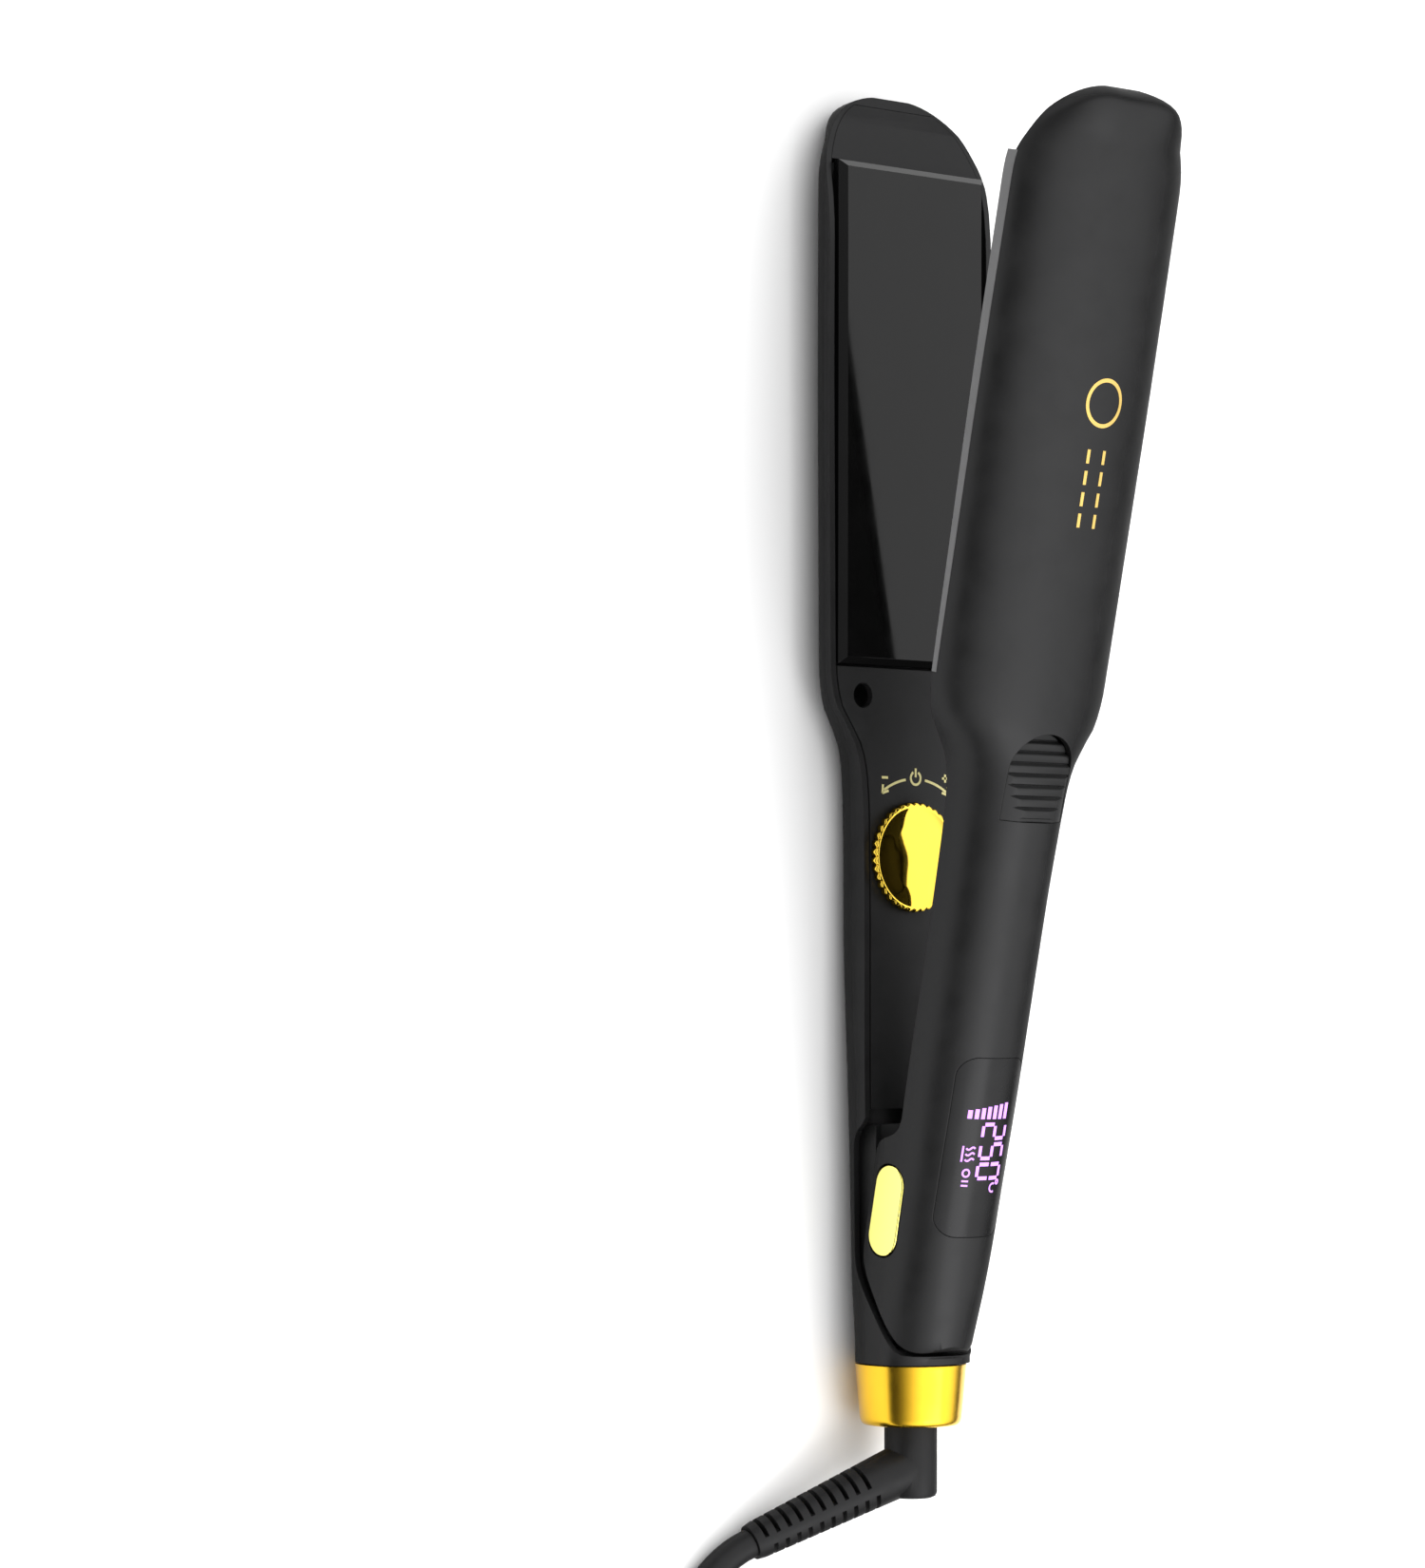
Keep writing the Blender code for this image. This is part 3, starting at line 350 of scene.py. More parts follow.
# ---------------------------------------------------------------- materials
class Look:
    """A procedural material being put together."""

    def __init__(self, name):
        self.material = bpy.data.materials.new(name)
        self.material.use_nodes = True
        self.tree = self.material.node_tree
        self.shader = self.tree.nodes["Principled BSDF"]
        self.place = self.tree.nodes.new("ShaderNodeTexCoord").outputs["Object"]

    def node(self, kind, **inputs):
        made = self.tree.nodes.new("ShaderNode" + kind)
        for key, value in inputs.items():
            made.inputs[key.replace("_", " ")].default_value = value
        return made

    def join(self, a, b):
        self.tree.links.new(a, b)

    def noise(self, scale, detail=3.0, stretch=(1, 1, 1)):
        mapping = self.node("Mapping", Scale=stretch)
        noise = self.node("TexNoise", Scale=scale, Detail=detail)
        self.join(self.place, mapping.inputs["Vector"])
        self.join(mapping.outputs["Vector"], noise.inputs["Vector"])
        return noise.outputs["Fac"]

    def spread(self, factor, low, high):
        mapped = self.node("MapRange", From_Min=0.3, From_Max=0.7, To_Min=low, To_Max=high)
        self.join(factor, mapped.inputs["Value"])
        return mapped.outputs["Result"]

    def blend(self, factor, first, second):
        mix = self.tree.nodes.new("ShaderNodeMix")
        mix.data_type = "RGBA"
        mix.inputs["A"].default_value, mix.inputs["B"].default_value = (*first, 1), (*second, 1)
        self.join(factor, mix.inputs["Factor"])
        return mix.outputs["Result"]

    def relief(self, factor, strength, distance, edge=0.0):
        bump = self.node("Bump", Strength=strength, Distance=distance * MM)
        self.join(factor, bump.inputs["Height"])
        if edge:
            rounding = self.node("Bevel", Radius=edge * MM)
            rounding.samples = 4
            self.join(rounding.outputs["Normal"], bump.inputs["Normal"])
        return bump.outputs["Normal"]


def surface(name, colour, rough, metal=0.0, level=0.5, vary=0.15, grain=(9000, 0.12, 0.02),
            mottle=140, edge=0.25, stretch=(1, 1, 1), ior=1.5, rim=1.0):
    """Colour and roughness that wander a little, a fine grain, and rounded edges."""
    look = Look(name)
    broad = look.noise(mottle, 4.0)
    darker, lighter = [c * (1 - vary) for c in colour], [min(1.0, c * (1 + vary)) for c in colour]
    look.join(look.blend(broad, darker, lighter), look.shader.inputs["Base Color"])
    look.join(look.spread(broad, rough * (1 - vary), rough * (1 + vary)), look.shader.inputs["Roughness"])
    fine = look.noise(grain[0], 2.0, stretch)
    look.join(look.relief(fine, grain[1], grain[2], edge), look.shader.inputs["Normal"])
    look.shader.inputs["Metallic"].default_value = metal
    look.shader.inputs["Specular IOR Level"].default_value = level
    look.shader.inputs["IOR"].default_value = ior
    look.shader.inputs["Specular Tint"].default_value = (rim, rim, rim, 1.0)
    return look


def board_look():
    """Green solder mask with paler copper tracks under it."""
    look = surface("circuit_board", (0.01, 0.09, 0.035), 0.35, grain=(2500, 0.2, 0.02))
    brick = look.node("TexBrick", Scale=900.0)
    brick.inputs["Color1"].default_value = (0.01, 0.09, 0.035, 1)
    brick.inputs["Color2"].default_value = (0.015, 0.12, 0.05, 1)
    brick.inputs["Mortar"].default_value = (0.05, 0.2, 0.07, 1)
    look.join(look.place, brick.inputs["Vector"])
    look.join(brick.outputs["Color"], look.shader.inputs["Base Color"])
    return look


def glow_look():
    """Display segments: a lit violet that is whiter in patches."""
    look = surface("display_glow", (0.5, 0.25, 0.8), 0.4, mottle=600)
    patches = look.noise(500, 2.0)
    look.join(look.blend(patches, (0.6, 0.2, 1.0), (0.75, 0.32, 1.0)), look.shader.inputs["Emission Color"])
    look.shader.inputs["Emission Strength"].default_value = 0.85
    return look


def make_looks():
    return {
        "shell": surface("satin_black_shell", (0.029, 0.029, 0.0295), 0.4, metal=0.65, ior=1.22,
                         rim=PLASTIC_RIM, grain=(14000, 0.18, 0.012)),
        "cover": surface("matt_black_cover", (0.03, 0.03, 0.0305), 0.44, metal=0.5, ior=1.25,
                         rim=PLASTIC_RIM, grain=(12000, 0.22, 0.014)),
        # painted highlight: pale grey for the upper rim strip, standing in for the rim's reflection of the
        # floor
        "rim_highlight": surface("painted_rim_highlight", (0.13, 0.13, 0.132), 0.35, ior=1.35, grain=(9000, 0.15, 0.012)),
        "plate": surface("coated_plate", (0.0035, 0.0035, 0.0036), 0.06, level=0.2, vary=0.3, edge=0.15,
                         grain=(1800, 0.03, 0.004), stretch=(8, 1, 1)),
        "gold": surface("mirror_gold", (0.82, 0.56, 0.065), 0.055, metal=1.0, vary=0.04, mottle=260,
                        grain=(5000, 0.03, 0.004), edge=0.2),
        "pale_gold": surface("pale_gold", (1.0, 0.9, 0.24), 0.12, metal=1.0, vary=0.03, mottle=260,
                             grain=(5000, 0.03, 0.004), edge=0.2),
        "collar": surface("satin_gold", (0.78, 0.47, 0.03), 0.22, metal=1.0, vary=0.05, mottle=300,
                          grain=(3000, 0.05, 0.006), edge=0.3),
        "lens": surface("smoked_lens", (0.025, 0.025, 0.0255), 0.26, metal=0.6, ior=1.25, rim=PLASTIC_RIM,
                        grain=(7000, 0.03, 0.004), edge=0.3),
        "steel": surface("plain_steel", (0.5, 0.51, 0.53), 0.3, metal=1.0, grain=(1500, 0.15, 0.01),
                         stretch=(1, 12, 1)),
        "ceramic": surface("heater_ceramic", (0.74, 0.72, 0.66), 0.6, grain=(2500, 0.3, 0.02)),
        "silicone": surface("silicone_cushion", (0.42, 0.1, 0.04), 0.55, grain=(1800, 0.3, 0.03)),
        "board": board_look(),
        "inner": surface("heat_resistant_tray", (0.026, 0.026, 0.0265), 0.36, metal=0.5, ior=1.3,
                         rim=PLASTIC_RIM, grain=(6000, 0.12, 0.012)),
        "brass": surface("plated_brass", (0.72, 0.55, 0.28), 0.27, metal=1.0, grain=(2600, 0.1, 0.008)),
        "cord": surface("rubber_cord", (0.023, 0.023, 0.0235), 0.45, metal=0.5, ior=1.25,
                        mottle=220, rim=PLASTIC_RIM, grain=(3200, 0.35, 0.03)),
        "marking": surface("printed_marking", (0.84, 0.76, 0.33), 0.5, mottle=900,
                           grain=(6000, 0.1, 0.005), edge=0.0),
        "foil": surface("gold_foil", (0.62, 0.43, 0.12), 0.36, metal=0.8, mottle=500,
                        grain=(5000, 0.15, 0.006), edge=0.0),
        "glow": glow_look(),
        "floor": surface("studio_floor", (0.93, 0.93, 0.93), 0.85, level=0.1, vary=0.01, mottle=3,
                         grain=(400, 0.05, 0.05), edge=0.0),
    }


LOOKS = {}


def finish_piece(item, look, body, nodes=(), angle=32):
    item.data.materials.clear()
    item.data.materials.append(LOOKS[look].material)
    shade(item, angle)
    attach(item, body)
    if nodes:
        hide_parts(*nodes)
    return item


# ---------------------------------------------------------------- arms
def lower_shell():
    seam = [(s, -fall) for s, fall in NOSE_FALL] + rounded_corners(LOWER_CHEEK)
    above = seam + [(-6, 24)]
    steps = [("DIFFERENCE", outline_solid("lower_above", above, -SIDE_REACH, SIDE_REACH, "side")),
             ("DIFFERENCE", iron_form("lower_hollow", WALL, HOLLOW_START, LOWER_HOLLOW_END)),
             ("UNION", rod("spigot_form", (0, 285.5, 0), SPIGOT_RADIUS, 11.0, "s")),
             ("DIFFERENCE", rod("spigot_bore", (0, 285.0, 0), BORE_RADIUS, 16.0, "s"))]
    shell = baked(iron_form("lower_shell_skin"), steps)
    finish_piece(shell, "shell", "lower_arm", ["lower_shell"])


def nose_trays():
    """The trays round the plates, close against the shells, whose fronts close the noses."""
    cuts = (("under", -9, 8.9, SIDE_REACH), ("pocket", PLATE_START - 0.4, 0, 7.3))
    middle = RIM_GAP / 2
    for arm, side, body in (("lower", -1, "lower_arm"), ("upper", 1, "upper_arm")):
        rim = 0.0 if side < 0 else RIM_GAP
        fall = [(s, rim + side * drop) for s, drop in NOSE_FALL] + [(TRAY_CUT_END, rim)]
        away = fall + [(TRAY_CUT_END, -side * FAR_REACH), (-6, -side * FAR_REACH)]
        steps = [("DIFFERENCE", outline_solid(f"{arm}_tray_rim", away, -SIDE_REACH, SIDE_REACH, "side"))]
        for label, start, low_side, high_side in cuts:
            zs = sorted((middle + side * low_side, middle + side * high_side))
            block = [(start, zs[0]), (TRAY_CUT_END, zs[0]), (TRAY_CUT_END, zs[1]), (start, zs[1])]
            cutter = outline_solid(f"{arm}_tray_{label}", block, -SIDE_REACH, SIDE_REACH, "side")
            steps.append(("DIFFERENCE", cutter))
        tray = baked(iron_form(f"{arm}_plate_tray", WALL + SEAM, 2.5, TRAY_END), steps)
        if side > 0:
            opened(tray)
        finish_piece(tray, "shell", body, [f"{arm}_plate_carrier"])


def upper_rim_highlight_strip():
    """Pale strip along the upper arm's rim, beside the plate: a painted highlight, pale grey standing in for
    the rim's reflection of the floor.
    """
    band = [(PLATE_START - 0.5, RIM_GAP), (PLATE_END, RIM_GAP), (PLATE_END, RIM_GAP + 1.3),
            (PLATE_START - 0.5, RIM_GAP + 2.6)]
    steps = [("INTERSECT", outline_solid("rim_highlight_band", band, -SIDE_REACH, SIDE_REACH, "side")),
             ("DIFFERENCE", iron_form("rim_highlight_hollow", WALL - 0.4, HOLLOW_START, UPPER_HOLLOW_END))]
    # thin pale sheet over the shell's rim band, a painted highlight rather than a part of the iron
    rim_highlight = opened(baked(iron_form("upper_rim_painted_highlight", -0.12, 0.0, UPPER_SKIN_END), steps))
    finish_piece(rim_highlight, "rim_highlight", "upper_arm")


def grip_outline(grow):
    half = GRIP_HALF + grow
    top = [(x, s * 0.9 + 0.1 * (GRIP_TOP + 9)) for x, s in arc((0, GRIP_TOP + 9), half, 180, 360, 36)]
    return top + [(half, GRIP_END + grow), (-half, GRIP_END + grow)]


def upper_shell():
    seam = [(s, RIM_GAP + fall) for s, fall in NOSE_FALL] + rounded_corners(UPPER_CHEEK)
    below = seam + [(300, 24), (300, -24), (-6, -24)]
    lens = rounded_outline((0, LENS_S), LENS_HALF + SEAM, LENS_LONG / 2 + SEAM, LENS_CORNER)
    steps = [("DIFFERENCE", outline_solid("upper_below", below, -SIDE_REACH, SIDE_REACH, "side")),
             ("DIFFERENCE", iron_form("upper_hollow", WALL, HOLLOW_START, UPPER_HOLLOW_END)),
             ("DIFFERENCE", outline_solid("lens_opening", lens, 8.5, 24, "plan")),
             ("DIFFERENCE", outline_solid("grip_opening", grip_outline(SEAM), 11.6, 24, "plan"))]
    for side in (-1, 1):
        pocket = rounded_outline((PILL_S, PILL_Z), PILL_LONG / 2 + FIT, PILL_WIDE / 2 + FIT, PILL_WIDE / 2)
        reach = sorted((side * 11.7, side * 20))
        steps.append(("DIFFERENCE", outline_solid(f"pill_pocket_{side}", pocket, *reach, "side")))
    shell = opened(baked(iron_form("upper_shell_skin", 0.0, 0.0, UPPER_SKIN_END), steps))
    finish_piece(shell, "shell", "upper_arm", ["upper_shell"])


def thumb_grip():
    """Arched insert whose ridges climb to the surface of the handle."""
    top = RIM_GAP + 14.0
    pitch = (GRIP_END - GRIP_TOP - 1.0) / GRIP_RIDGES
    stairs = [(GRIP_TOP - 4, 11.9)]
    for k in range(GRIP_RIDGES):
        start = GRIP_TOP + 0.4 + k * pitch
        floor = top - 2.9 * (1 - k / GRIP_RIDGES)
        ridge = [(0.0, -0.5), (0.08, -0.25), (0.17, 0.2), (0.24, 0.45), (0.32, 0.55), (0.45, 0.54),
                 (0.7, 0.44), (0.88, 0.3), (0.95, 0.1)]
        stairs += [(start + t * pitch, floor + z) for t, z in ridge]
    stairs += [(GRIP_END + 4, top - 0.2), (GRIP_END + 4, 11.9)]
    steps = [("INTERSECT", outline_solid("grip_arch", grip_outline(0), 5, 30, "plan")),
             ("INTERSECT", iron_form("grip_skin", 0.1, GRIP_TOP - 6, GRIP_END + 7))]
    grip = opened(baked(outline_solid("thumb_grip_ridged", stairs, -12, 12, "side"), steps))
    finish_piece(grip, "cover", "upper_arm", ["thumb_grip"])


def display_lens():
    outline = rounded_outline((0, LENS_S), LENS_HALF, LENS_LONG / 2, LENS_CORNER)
    steps = [("INTERSECT", outline_solid("lens_outline", outline, 8.0, 30, "plan")),
             ("DIFFERENCE", iron_form("lens_inside", 1.4, LENS_S - 30, LENS_S + 31))]
    lens = opened(baked(iron_form("display_lens_skin", 0.02, LENS_S - 25, LENS_S + 27), steps))
    finish_piece(lens, "lens", "upper_arm", ["display_lens"])


def hinge_pills():
    for name, side in (("left", -1), ("right", 1)):
        rings = []
        for inset, height in ((0.0, 12.0), (0.0, 12.75), (0.08, 12.95), (0.25, 13.1), (0.5, 13.15)):
            outline = rounded_outline((PILL_S, PILL_Z), PILL_LONG / 2 - inset, PILL_WIDE / 2 - inset,
                                      PILL_WIDE / 2 - 0.05 - inset)
            rings.append([place(side * height, s, z) for s, z in outline])
        pill = opened(loft(f"hinge_pill_{name}_polished", rings))
        finish_piece(pill, "pale_gold", "upper_arm", [f"hinge_pill_{name}"])


def dial():
    """Scalloped knob with a rounded lip round a mirror face that rises a little to its middle."""
    per_tooth = 12
    profile = [(-1.2, 0.3, 0.0), (-0.25, 0.3, 1.0), (0.0, 0.5, 1.0), (0.0, 1.5, 1.0), (-0.12, 1.82, 1.0),
               (-0.35, 2.0, 0.8), (-0.6, 2.06, 0.3), (-0.8, 2.06, 0.0), (-0.95, 2.0, 0.0),
               (-1.1, 2.0, 0.0), (-1.25, 2.08, 0.0), (-5.0, 2.25, 0.0), (-8.8, 2.42, 0.0),
               (-10.7, 2.49, 0.0), (-11.5, 2.51, 0.0), (-12.1, 2.515, 0.0)]
    rings = []
    for inset, height, scallop in profile:
        ring = []
        for k in range(DIAL_TEETH * per_tooth):
            angle = 2 * math.pi * k / (DIAL_TEETH * per_tooth)
            wave = abs(math.sin(angle * DIAL_TEETH / 2)) ** 0.8
            radius = DIAL_RADIUS + inset - TOOTH_DEPTH * scallop * (1 - wave)
            ring.append(place(radius * math.cos(angle), DIAL_S + radius * math.sin(angle), height))
        rings.append(ring)
    steps = [("UNION", rod("dial_stem", (0, DIAL_S, -1.2), 3.0, 4.2, "z", 32))]
    knob = baked(loft("dial_knob_scalloped", rings), steps)
    finish_piece(knob, "gold", "dial", ["dial_knob"], 40)


def collar():
    profile = [(12.3, 281.6), (12.3, 282.0), (12.25, 282.4), (12.0, 285.3), (11.68, 289.0), (11.28, 293.2),
               (11.2, 293.7), (11.05, 294.2), (10.8, 294.6), (10.4, 294.9), (9.8, 295.0), (6.5, 295.0),
               (6.2, 294.85), (6.15, 294.5), (6.15, 292.8), (10.5, 291.4), (10.5, 281.6)]
    ring = turned_about_s("end_collar_satin", profile)
    finish_piece(ring, "collar", "lower_arm", ["end_collar"], 40)


# ---------------------------------------------------------------- printing on the surfaces
def on_cover(x, s):
    """Height of the lower cover's flat face, for printing on it."""
    return 0.0


def strokes(name, lines, width, height_at, thick=PRINT_THICK):
    """Printed lines of (x, s) points lying on a surface, as thin closed strips."""
    data = bmesh.new()
    for line in lines:
        closed = line[0] == line[-1]
        points = [Vector(p) for p in (line[:-1] if closed else line)]
        rows = []
        for k, point in enumerate(points):
            before = points[k - 1] if closed or k else points[k]
            after = points[(k + 1) % len(points)] if closed or k < len(points) - 1 else points[k]
            ahead = (after - before).normalized()
            side = Vector((-ahead.y, ahead.x)) * width / 2
            left, right = point + side, point - side
            rows.append([data.verts.new(place(p.x, p.y, height_at(p.x, p.y) + lift))
                         for p, lift in ((left, 0.0), (left, thick), (right, thick), (right, 0.0))])
        pairs = list(zip(rows, rows[1:])) + ([(rows[-1], rows[0])] if closed else [])
        for near, far in pairs:
            for k in range(4):
                nxt = (k + 1) % 4
                data.faces.new((near[k], near[nxt], far[nxt], far[k]))
        if not closed:
            data.faces.new(rows[0])
            data.faces.new(rows[-1][::-1])
    return mesh_object(name, data)


def straight(a, b, step=0.6):
    count = max(1, round(math.dist(a, b) / step))
    return [(a[0] + (b[0] - a[0]) * k / count, a[1] + (b[1] - a[1]) * k / count) for k in range(count + 1)]


def ring_line(centre, radius, steps=40):
    points = arc(centre, radius, 0, 360, steps)
    return points[:-1] + [points[0]]


def cover_marks():
    """Minus, power and plus signs with two arrows round the dial."""
    middle, sweep = 1.2, 17.4
    power = (middle + 0.1, 152.4)
    lines = [straight((middle - 9.9, 152.5), (middle - 8.1, 152.5)),
             straight((middle + 8.0, 152.2), (middle + 9.8, 152.2)),
             straight((middle + 8.9, 151.3), (middle + 8.9, 153.1)),
             arc(power, 1.45, -60, 240, 24), straight((power[0], 150.2), (power[0], 152.2))]
    for side in (-1, 1):
        curve = arc((middle, DIAL_S), sweep, -90 + side * 9.5, -90 + side * 32, 12)
        tip = curve[-1]
        lines += [curve, straight((tip[0] - side * 1.3, tip[1] + 0.15), (tip[0] + side * 0.5, tip[1] + 0.7)),
                  straight((tip[0] + side * 0.35, tip[1] - 1.2), (tip[0] + side * 0.5, tip[1] + 0.7))]
    marks = strokes("dial_marks", lines, MARK_LINE, on_cover)
    finish_piece(marks, "marking", "lower_arm")


def segment_digit(lit, origin, high, wide):
    """Seven-segment figure; up is +x and reading goes along s. lit names segments a to g."""
    gap = 0.35
    corners = {"a": ((high, gap), (high, wide - gap)), "g": ((high / 2, gap), (high / 2, wide - gap)),
               "d": ((0, gap), (0, wide - gap)), "f": ((high - gap, 0), (high / 2 + gap, 0)),
               "b": ((high - gap, wide), (high / 2 + gap, wide)), "e": ((high / 2 - gap, 0), (gap, 0)),
               "c": ((high / 2 - gap, wide), (gap, wide))}
    made = []
    for name in lit:
        a, b = corners[name]
        made.append(straight((origin[0] + a[0], origin[1] + a[1]), (origin[0] + b[0], origin[1] + b[1])))
    return made


def display_figures():
    """Rising level bars, a temperature reading, and small icons."""
    bars = []
    for k in range(BAR_COUNT):
        x = BAR_X + BAR_PITCH * k
        bars.append(straight((x, BAR_FOOT_S), (x, BAR_FOOT_S - BAR_SHORTEST - BAR_GROWTH * k)))
    level = opened(strokes("display_level_bars", bars, BAR_LINE, back_of_upper))
    finish_piece(level, "glow", "upper_arm")
    figures = []
    for k, lit in enumerate(("abged", "afgcd", "abcdef")):
        figures += segment_digit(lit, (DIGIT_X, DIGIT_S + DIGIT_PITCH * k), DIGIT_HIGH, DIGIT_WIDE)
    reading = opened(strokes("display_reading", figures, DIGIT_LINE, back_of_upper))
    finish_piece(reading, "glow", "upper_arm")
    icons = [ring_line((5.1, 237.3), 0.45, 16), arc((3.7, 238.5), 0.95, -60, -300, 16)]
    for k in range(3):
        icons.append([(-5.3 + 2.2 * t / 10, 229.7 + 1.25 * k + 0.3 * math.sin(math.tau * t / 10))
                      for t in range(11)])
    icons += [straight((-6.0, 229.2), (-6.0, 232.7)), ring_line((-4.5, 235.2), 0.8, 20),
              straight((-5.3, 237.0), (-3.7, 237.0)), straight((-5.3, 238.0), (-3.7, 238.0))]
    small = opened(strokes("display_icons", icons, ICON_LINE, back_of_upper))
    finish_piece(small, "glow", "upper_arm")


def ornament():
    """Plain ring and a row of plain bars on the back of the upper arm."""
    lines = [ring_line(ORNAMENT_RING, ORNAMENT_RADIUS, 72)]
    for k in range(ORNAMENT_BARS):
        s = ORNAMENT_BAR_S + ORNAMENT_BAR_PITCH * k
        lines += [straight((x, s), (x, s + ORNAMENT_BAR_LONG)) for x in ORNAMENT_COLUMNS]
    mark = opened(strokes("plain_ornament", lines, ORNAMENT_LINE, back_of_upper))
    finish_piece(mark, "foil", "upper_arm")


# ---------------------------------------------------------------- tail and cord
def relief_point(along):
    """Point on the strain relief's line; along is measured from the elbow's corner."""
    x, s, z = RELIEF_DIRECTION * along
    return place(x, STUB_END + s, z)


def strain_relief():
    """Straight stub with a knuckle at its end, and a sleeve from it that tapers to the cord."""
    stub = [place(0, s, 0) for s in (291.6, 298.0, 304.0, STUB_TIP - 1.2, STUB_TIP - 0.4, STUB_TIP)]
    knuckle = tube("stub_knuckle", stub, [STUB_RADIUS] * 4 + [STUB_RADIUS - 0.4, STUB_RADIUS - 1.3],
                   SOFT_SIDES)
    route = [relief_point(RELIEF_LENGTH * k / RELIEF_STEPS) for k in range(RELIEF_STEPS + 1)]
    radii = [STUB_RADIUS - 0.05 - (STUB_RADIUS - RELIEF_TIP) * k / RELIEF_STEPS
             for k in range(RELIEF_STEPS + 1)]
    radii[-1] = RELIEF_MOUTH
    body = tube("strain_relief_slit", route, radii, SOFT_SIDES)
    forward = Vector((RELIEF_DIRECTION.x, -RELIEF_DIRECTION.y, RELIEF_DIRECTION.z))
    across = forward.cross(Vector((0, 0, 1))).normalized()
    up = across.cross(forward)
    steps = [("UNION", knuckle)]
    for k in range(SLITS):
        middle = relief_point(SLIT_START + SLIT_PITCH * k)
        for side in (-1, 1):
            shift = 0.5 * SLIT_PITCH * (side > 0)
            centre = middle + (forward * shift + across * side * SLIT_ASIDE) * MM
            data = bmesh.new()
            bmesh.ops.create_cube(data, size=1.0)
            for vertex in data.verts:
                c = vertex.co.copy()
                vertex.co = centre + (forward * c.x * SLIT_WIDE + across * c.y * 8.0 + up * c.z * 14.0) * MM
            steps.append(("DIFFERENCE", mesh_object(f"slit_{k}_{side}", data)))
    return finish_piece(baked(body, steps), "cord", "cord_swivel", ["strain_relief"])


def smooth_rise(t):
    return t * t * (3 - 2 * t)


def coil_points():
    """World points of the flat two-layer coil, from its outer start to its last quarter turn."""
    made = []
    plan = [(r, LOW_LAYER) for r in LOW_RADII] + [(r, HIGH_LAYER) for r in HIGH_RADII]
    plan.append((LAST_RADIUS, HIGH_LAYER))
    for turn, (radius, height) in enumerate(plan):
        last = turn == len(plan) - 1
        for k in range(TURN_POINTS // 4 + 1 if last else TURN_POINTS):
            part = k / TURN_POINTS
            angle = math.pi - 2 * math.pi * part
            r, z = radius, height
            if not last:
                r_next, z_next = plan[turn + 1]
                ease = smooth_rise(min(1.0, max(0.0, (part - CROSS_START) / CROSS_SPAN)))
                r, z = radius + (r_next - radius) * ease, height + (z_next - height) * ease
            else:
                z = height + (TAIL_HEIGHT - height) * smooth_rise(4 * part)
            made.append(place(COIL_X + r * math.cos(angle), COIL_S + r * math.sin(angle), z - BACK))
    return made


def cord_line():
    lead = through([place(x, s, z - BACK) for x, s, z in LEAD_ROUTE], PATH_STEPS)
    tail = through([place(x, s, z - BACK) for x, s, z in TAIL_ROUTE], PATH_STEPS)
    return lead + coil_points() + tail


def coil_tie():
    """Strap round the coil's near side, with ribs and a small latch on top."""
    near, far = COIL_S - COIL_OUTER - 1.0, COIL_S - COIL_INNER + 1.0
    low, high = 0.02, COIL_TOP + FIT
    middle = ((near + far) / 2, (low + high + TIE_THICK) / 2)
    rings = []
    for grow, x in ((0.0, -1.0), (TIE_THICK - 0.25, -1.0), (TIE_THICK, -0.93), (TIE_THICK, 0.93),
                    (TIE_THICK - 0.25, 1.0), (0.0, 1.0)):
        outline = rounded_outline(middle, (far - near) / 2 + grow, (high - low - TIE_THICK) / 2 + grow,
                                  3.0 + grow)
        rings.append([place(COIL_X + x * TIE_HALF, s, z - BACK) for s, z in outline])
    tie = loft("coil_tie_strap", rings, looped=True)
    latch = rounded_outline((COIL_X, middle[0]), TIE_HALF + 1.6, 4.0, 1.4, 6)
    top = high + TIE_THICK / 2
    steps = [("UNION", outline_solid("tie_latch", latch, top - 0.8 - BACK, top + 1.3 - BACK, "plan"))]
    for k in range(7):
        s = middle[0] + 6.5 + 1.3 * k
        if s < far - 3:
            rib = rounded_outline((COIL_X, s), TIE_HALF - 1.2, 0.3, 0.28, 4)
            bar = outline_solid(f"tie_rib_{k}", rib, top - BACK, top + 0.95 - BACK, "plan")
            steps.append(("UNION", bar))
    return finish_piece(baked(tie, steps), "cord", "lower_arm", ["coil_tie"])


def plug_body():
    """Two-pin plug: broad flat body with finger hollows and a ringed boot for the cord."""
    front = PLUG_S - PLUG_LONG / 2
    stations = [(0.0, 6.6, 3.6), (0.4, 8.2, 5.0), (1.4, 9.3, 5.9), (3.0, 10.4, 6.3), (6.0, 11.8, 6.55),
                (9.0, 12.4, 6.6), (13.0, 12.3, 6.5), (17.0, 11.3, 6.0), (21.0, 9.8, 5.6), (25.0, 8.4, 5.7),
                (28.0, 7.6, 5.8), (30.0, 7.0, 5.7), (31.0, 5.9, 5.2), (32.0, 6.3, 5.4), (33.2, 6.2, 5.3),
                (33.7, 5.3, 4.8), (34.6, 5.7, 5.0), (36.0, 5.5, 4.9), (36.5, 4.8, 4.5), (38.6, 4.6, 4.4),
                (39.0, 4.0, 4.0)]
    rings = []
    for along, half, thick in stations:
        ring = []
        for k in range(SOFT_SIDES):
            angle = 2 * math.pi * k / SOFT_SIDES
            power = 2 / 3.2 if along < PLUG_BOOT else 1.0
            c, d = math.cos(angle), math.sin(angle)
            ring.append(place(PLUG_X + half * math.copysign(abs(c) ** power, c), front + along,
                              PLUG_Z - BACK + thick * math.copysign(abs(d) ** power, d)))
        rings.append(ring)
    return finish_piece(loft("plug_body_moulded", rings), "cord", "lower_arm", ["plug_body"], 50)


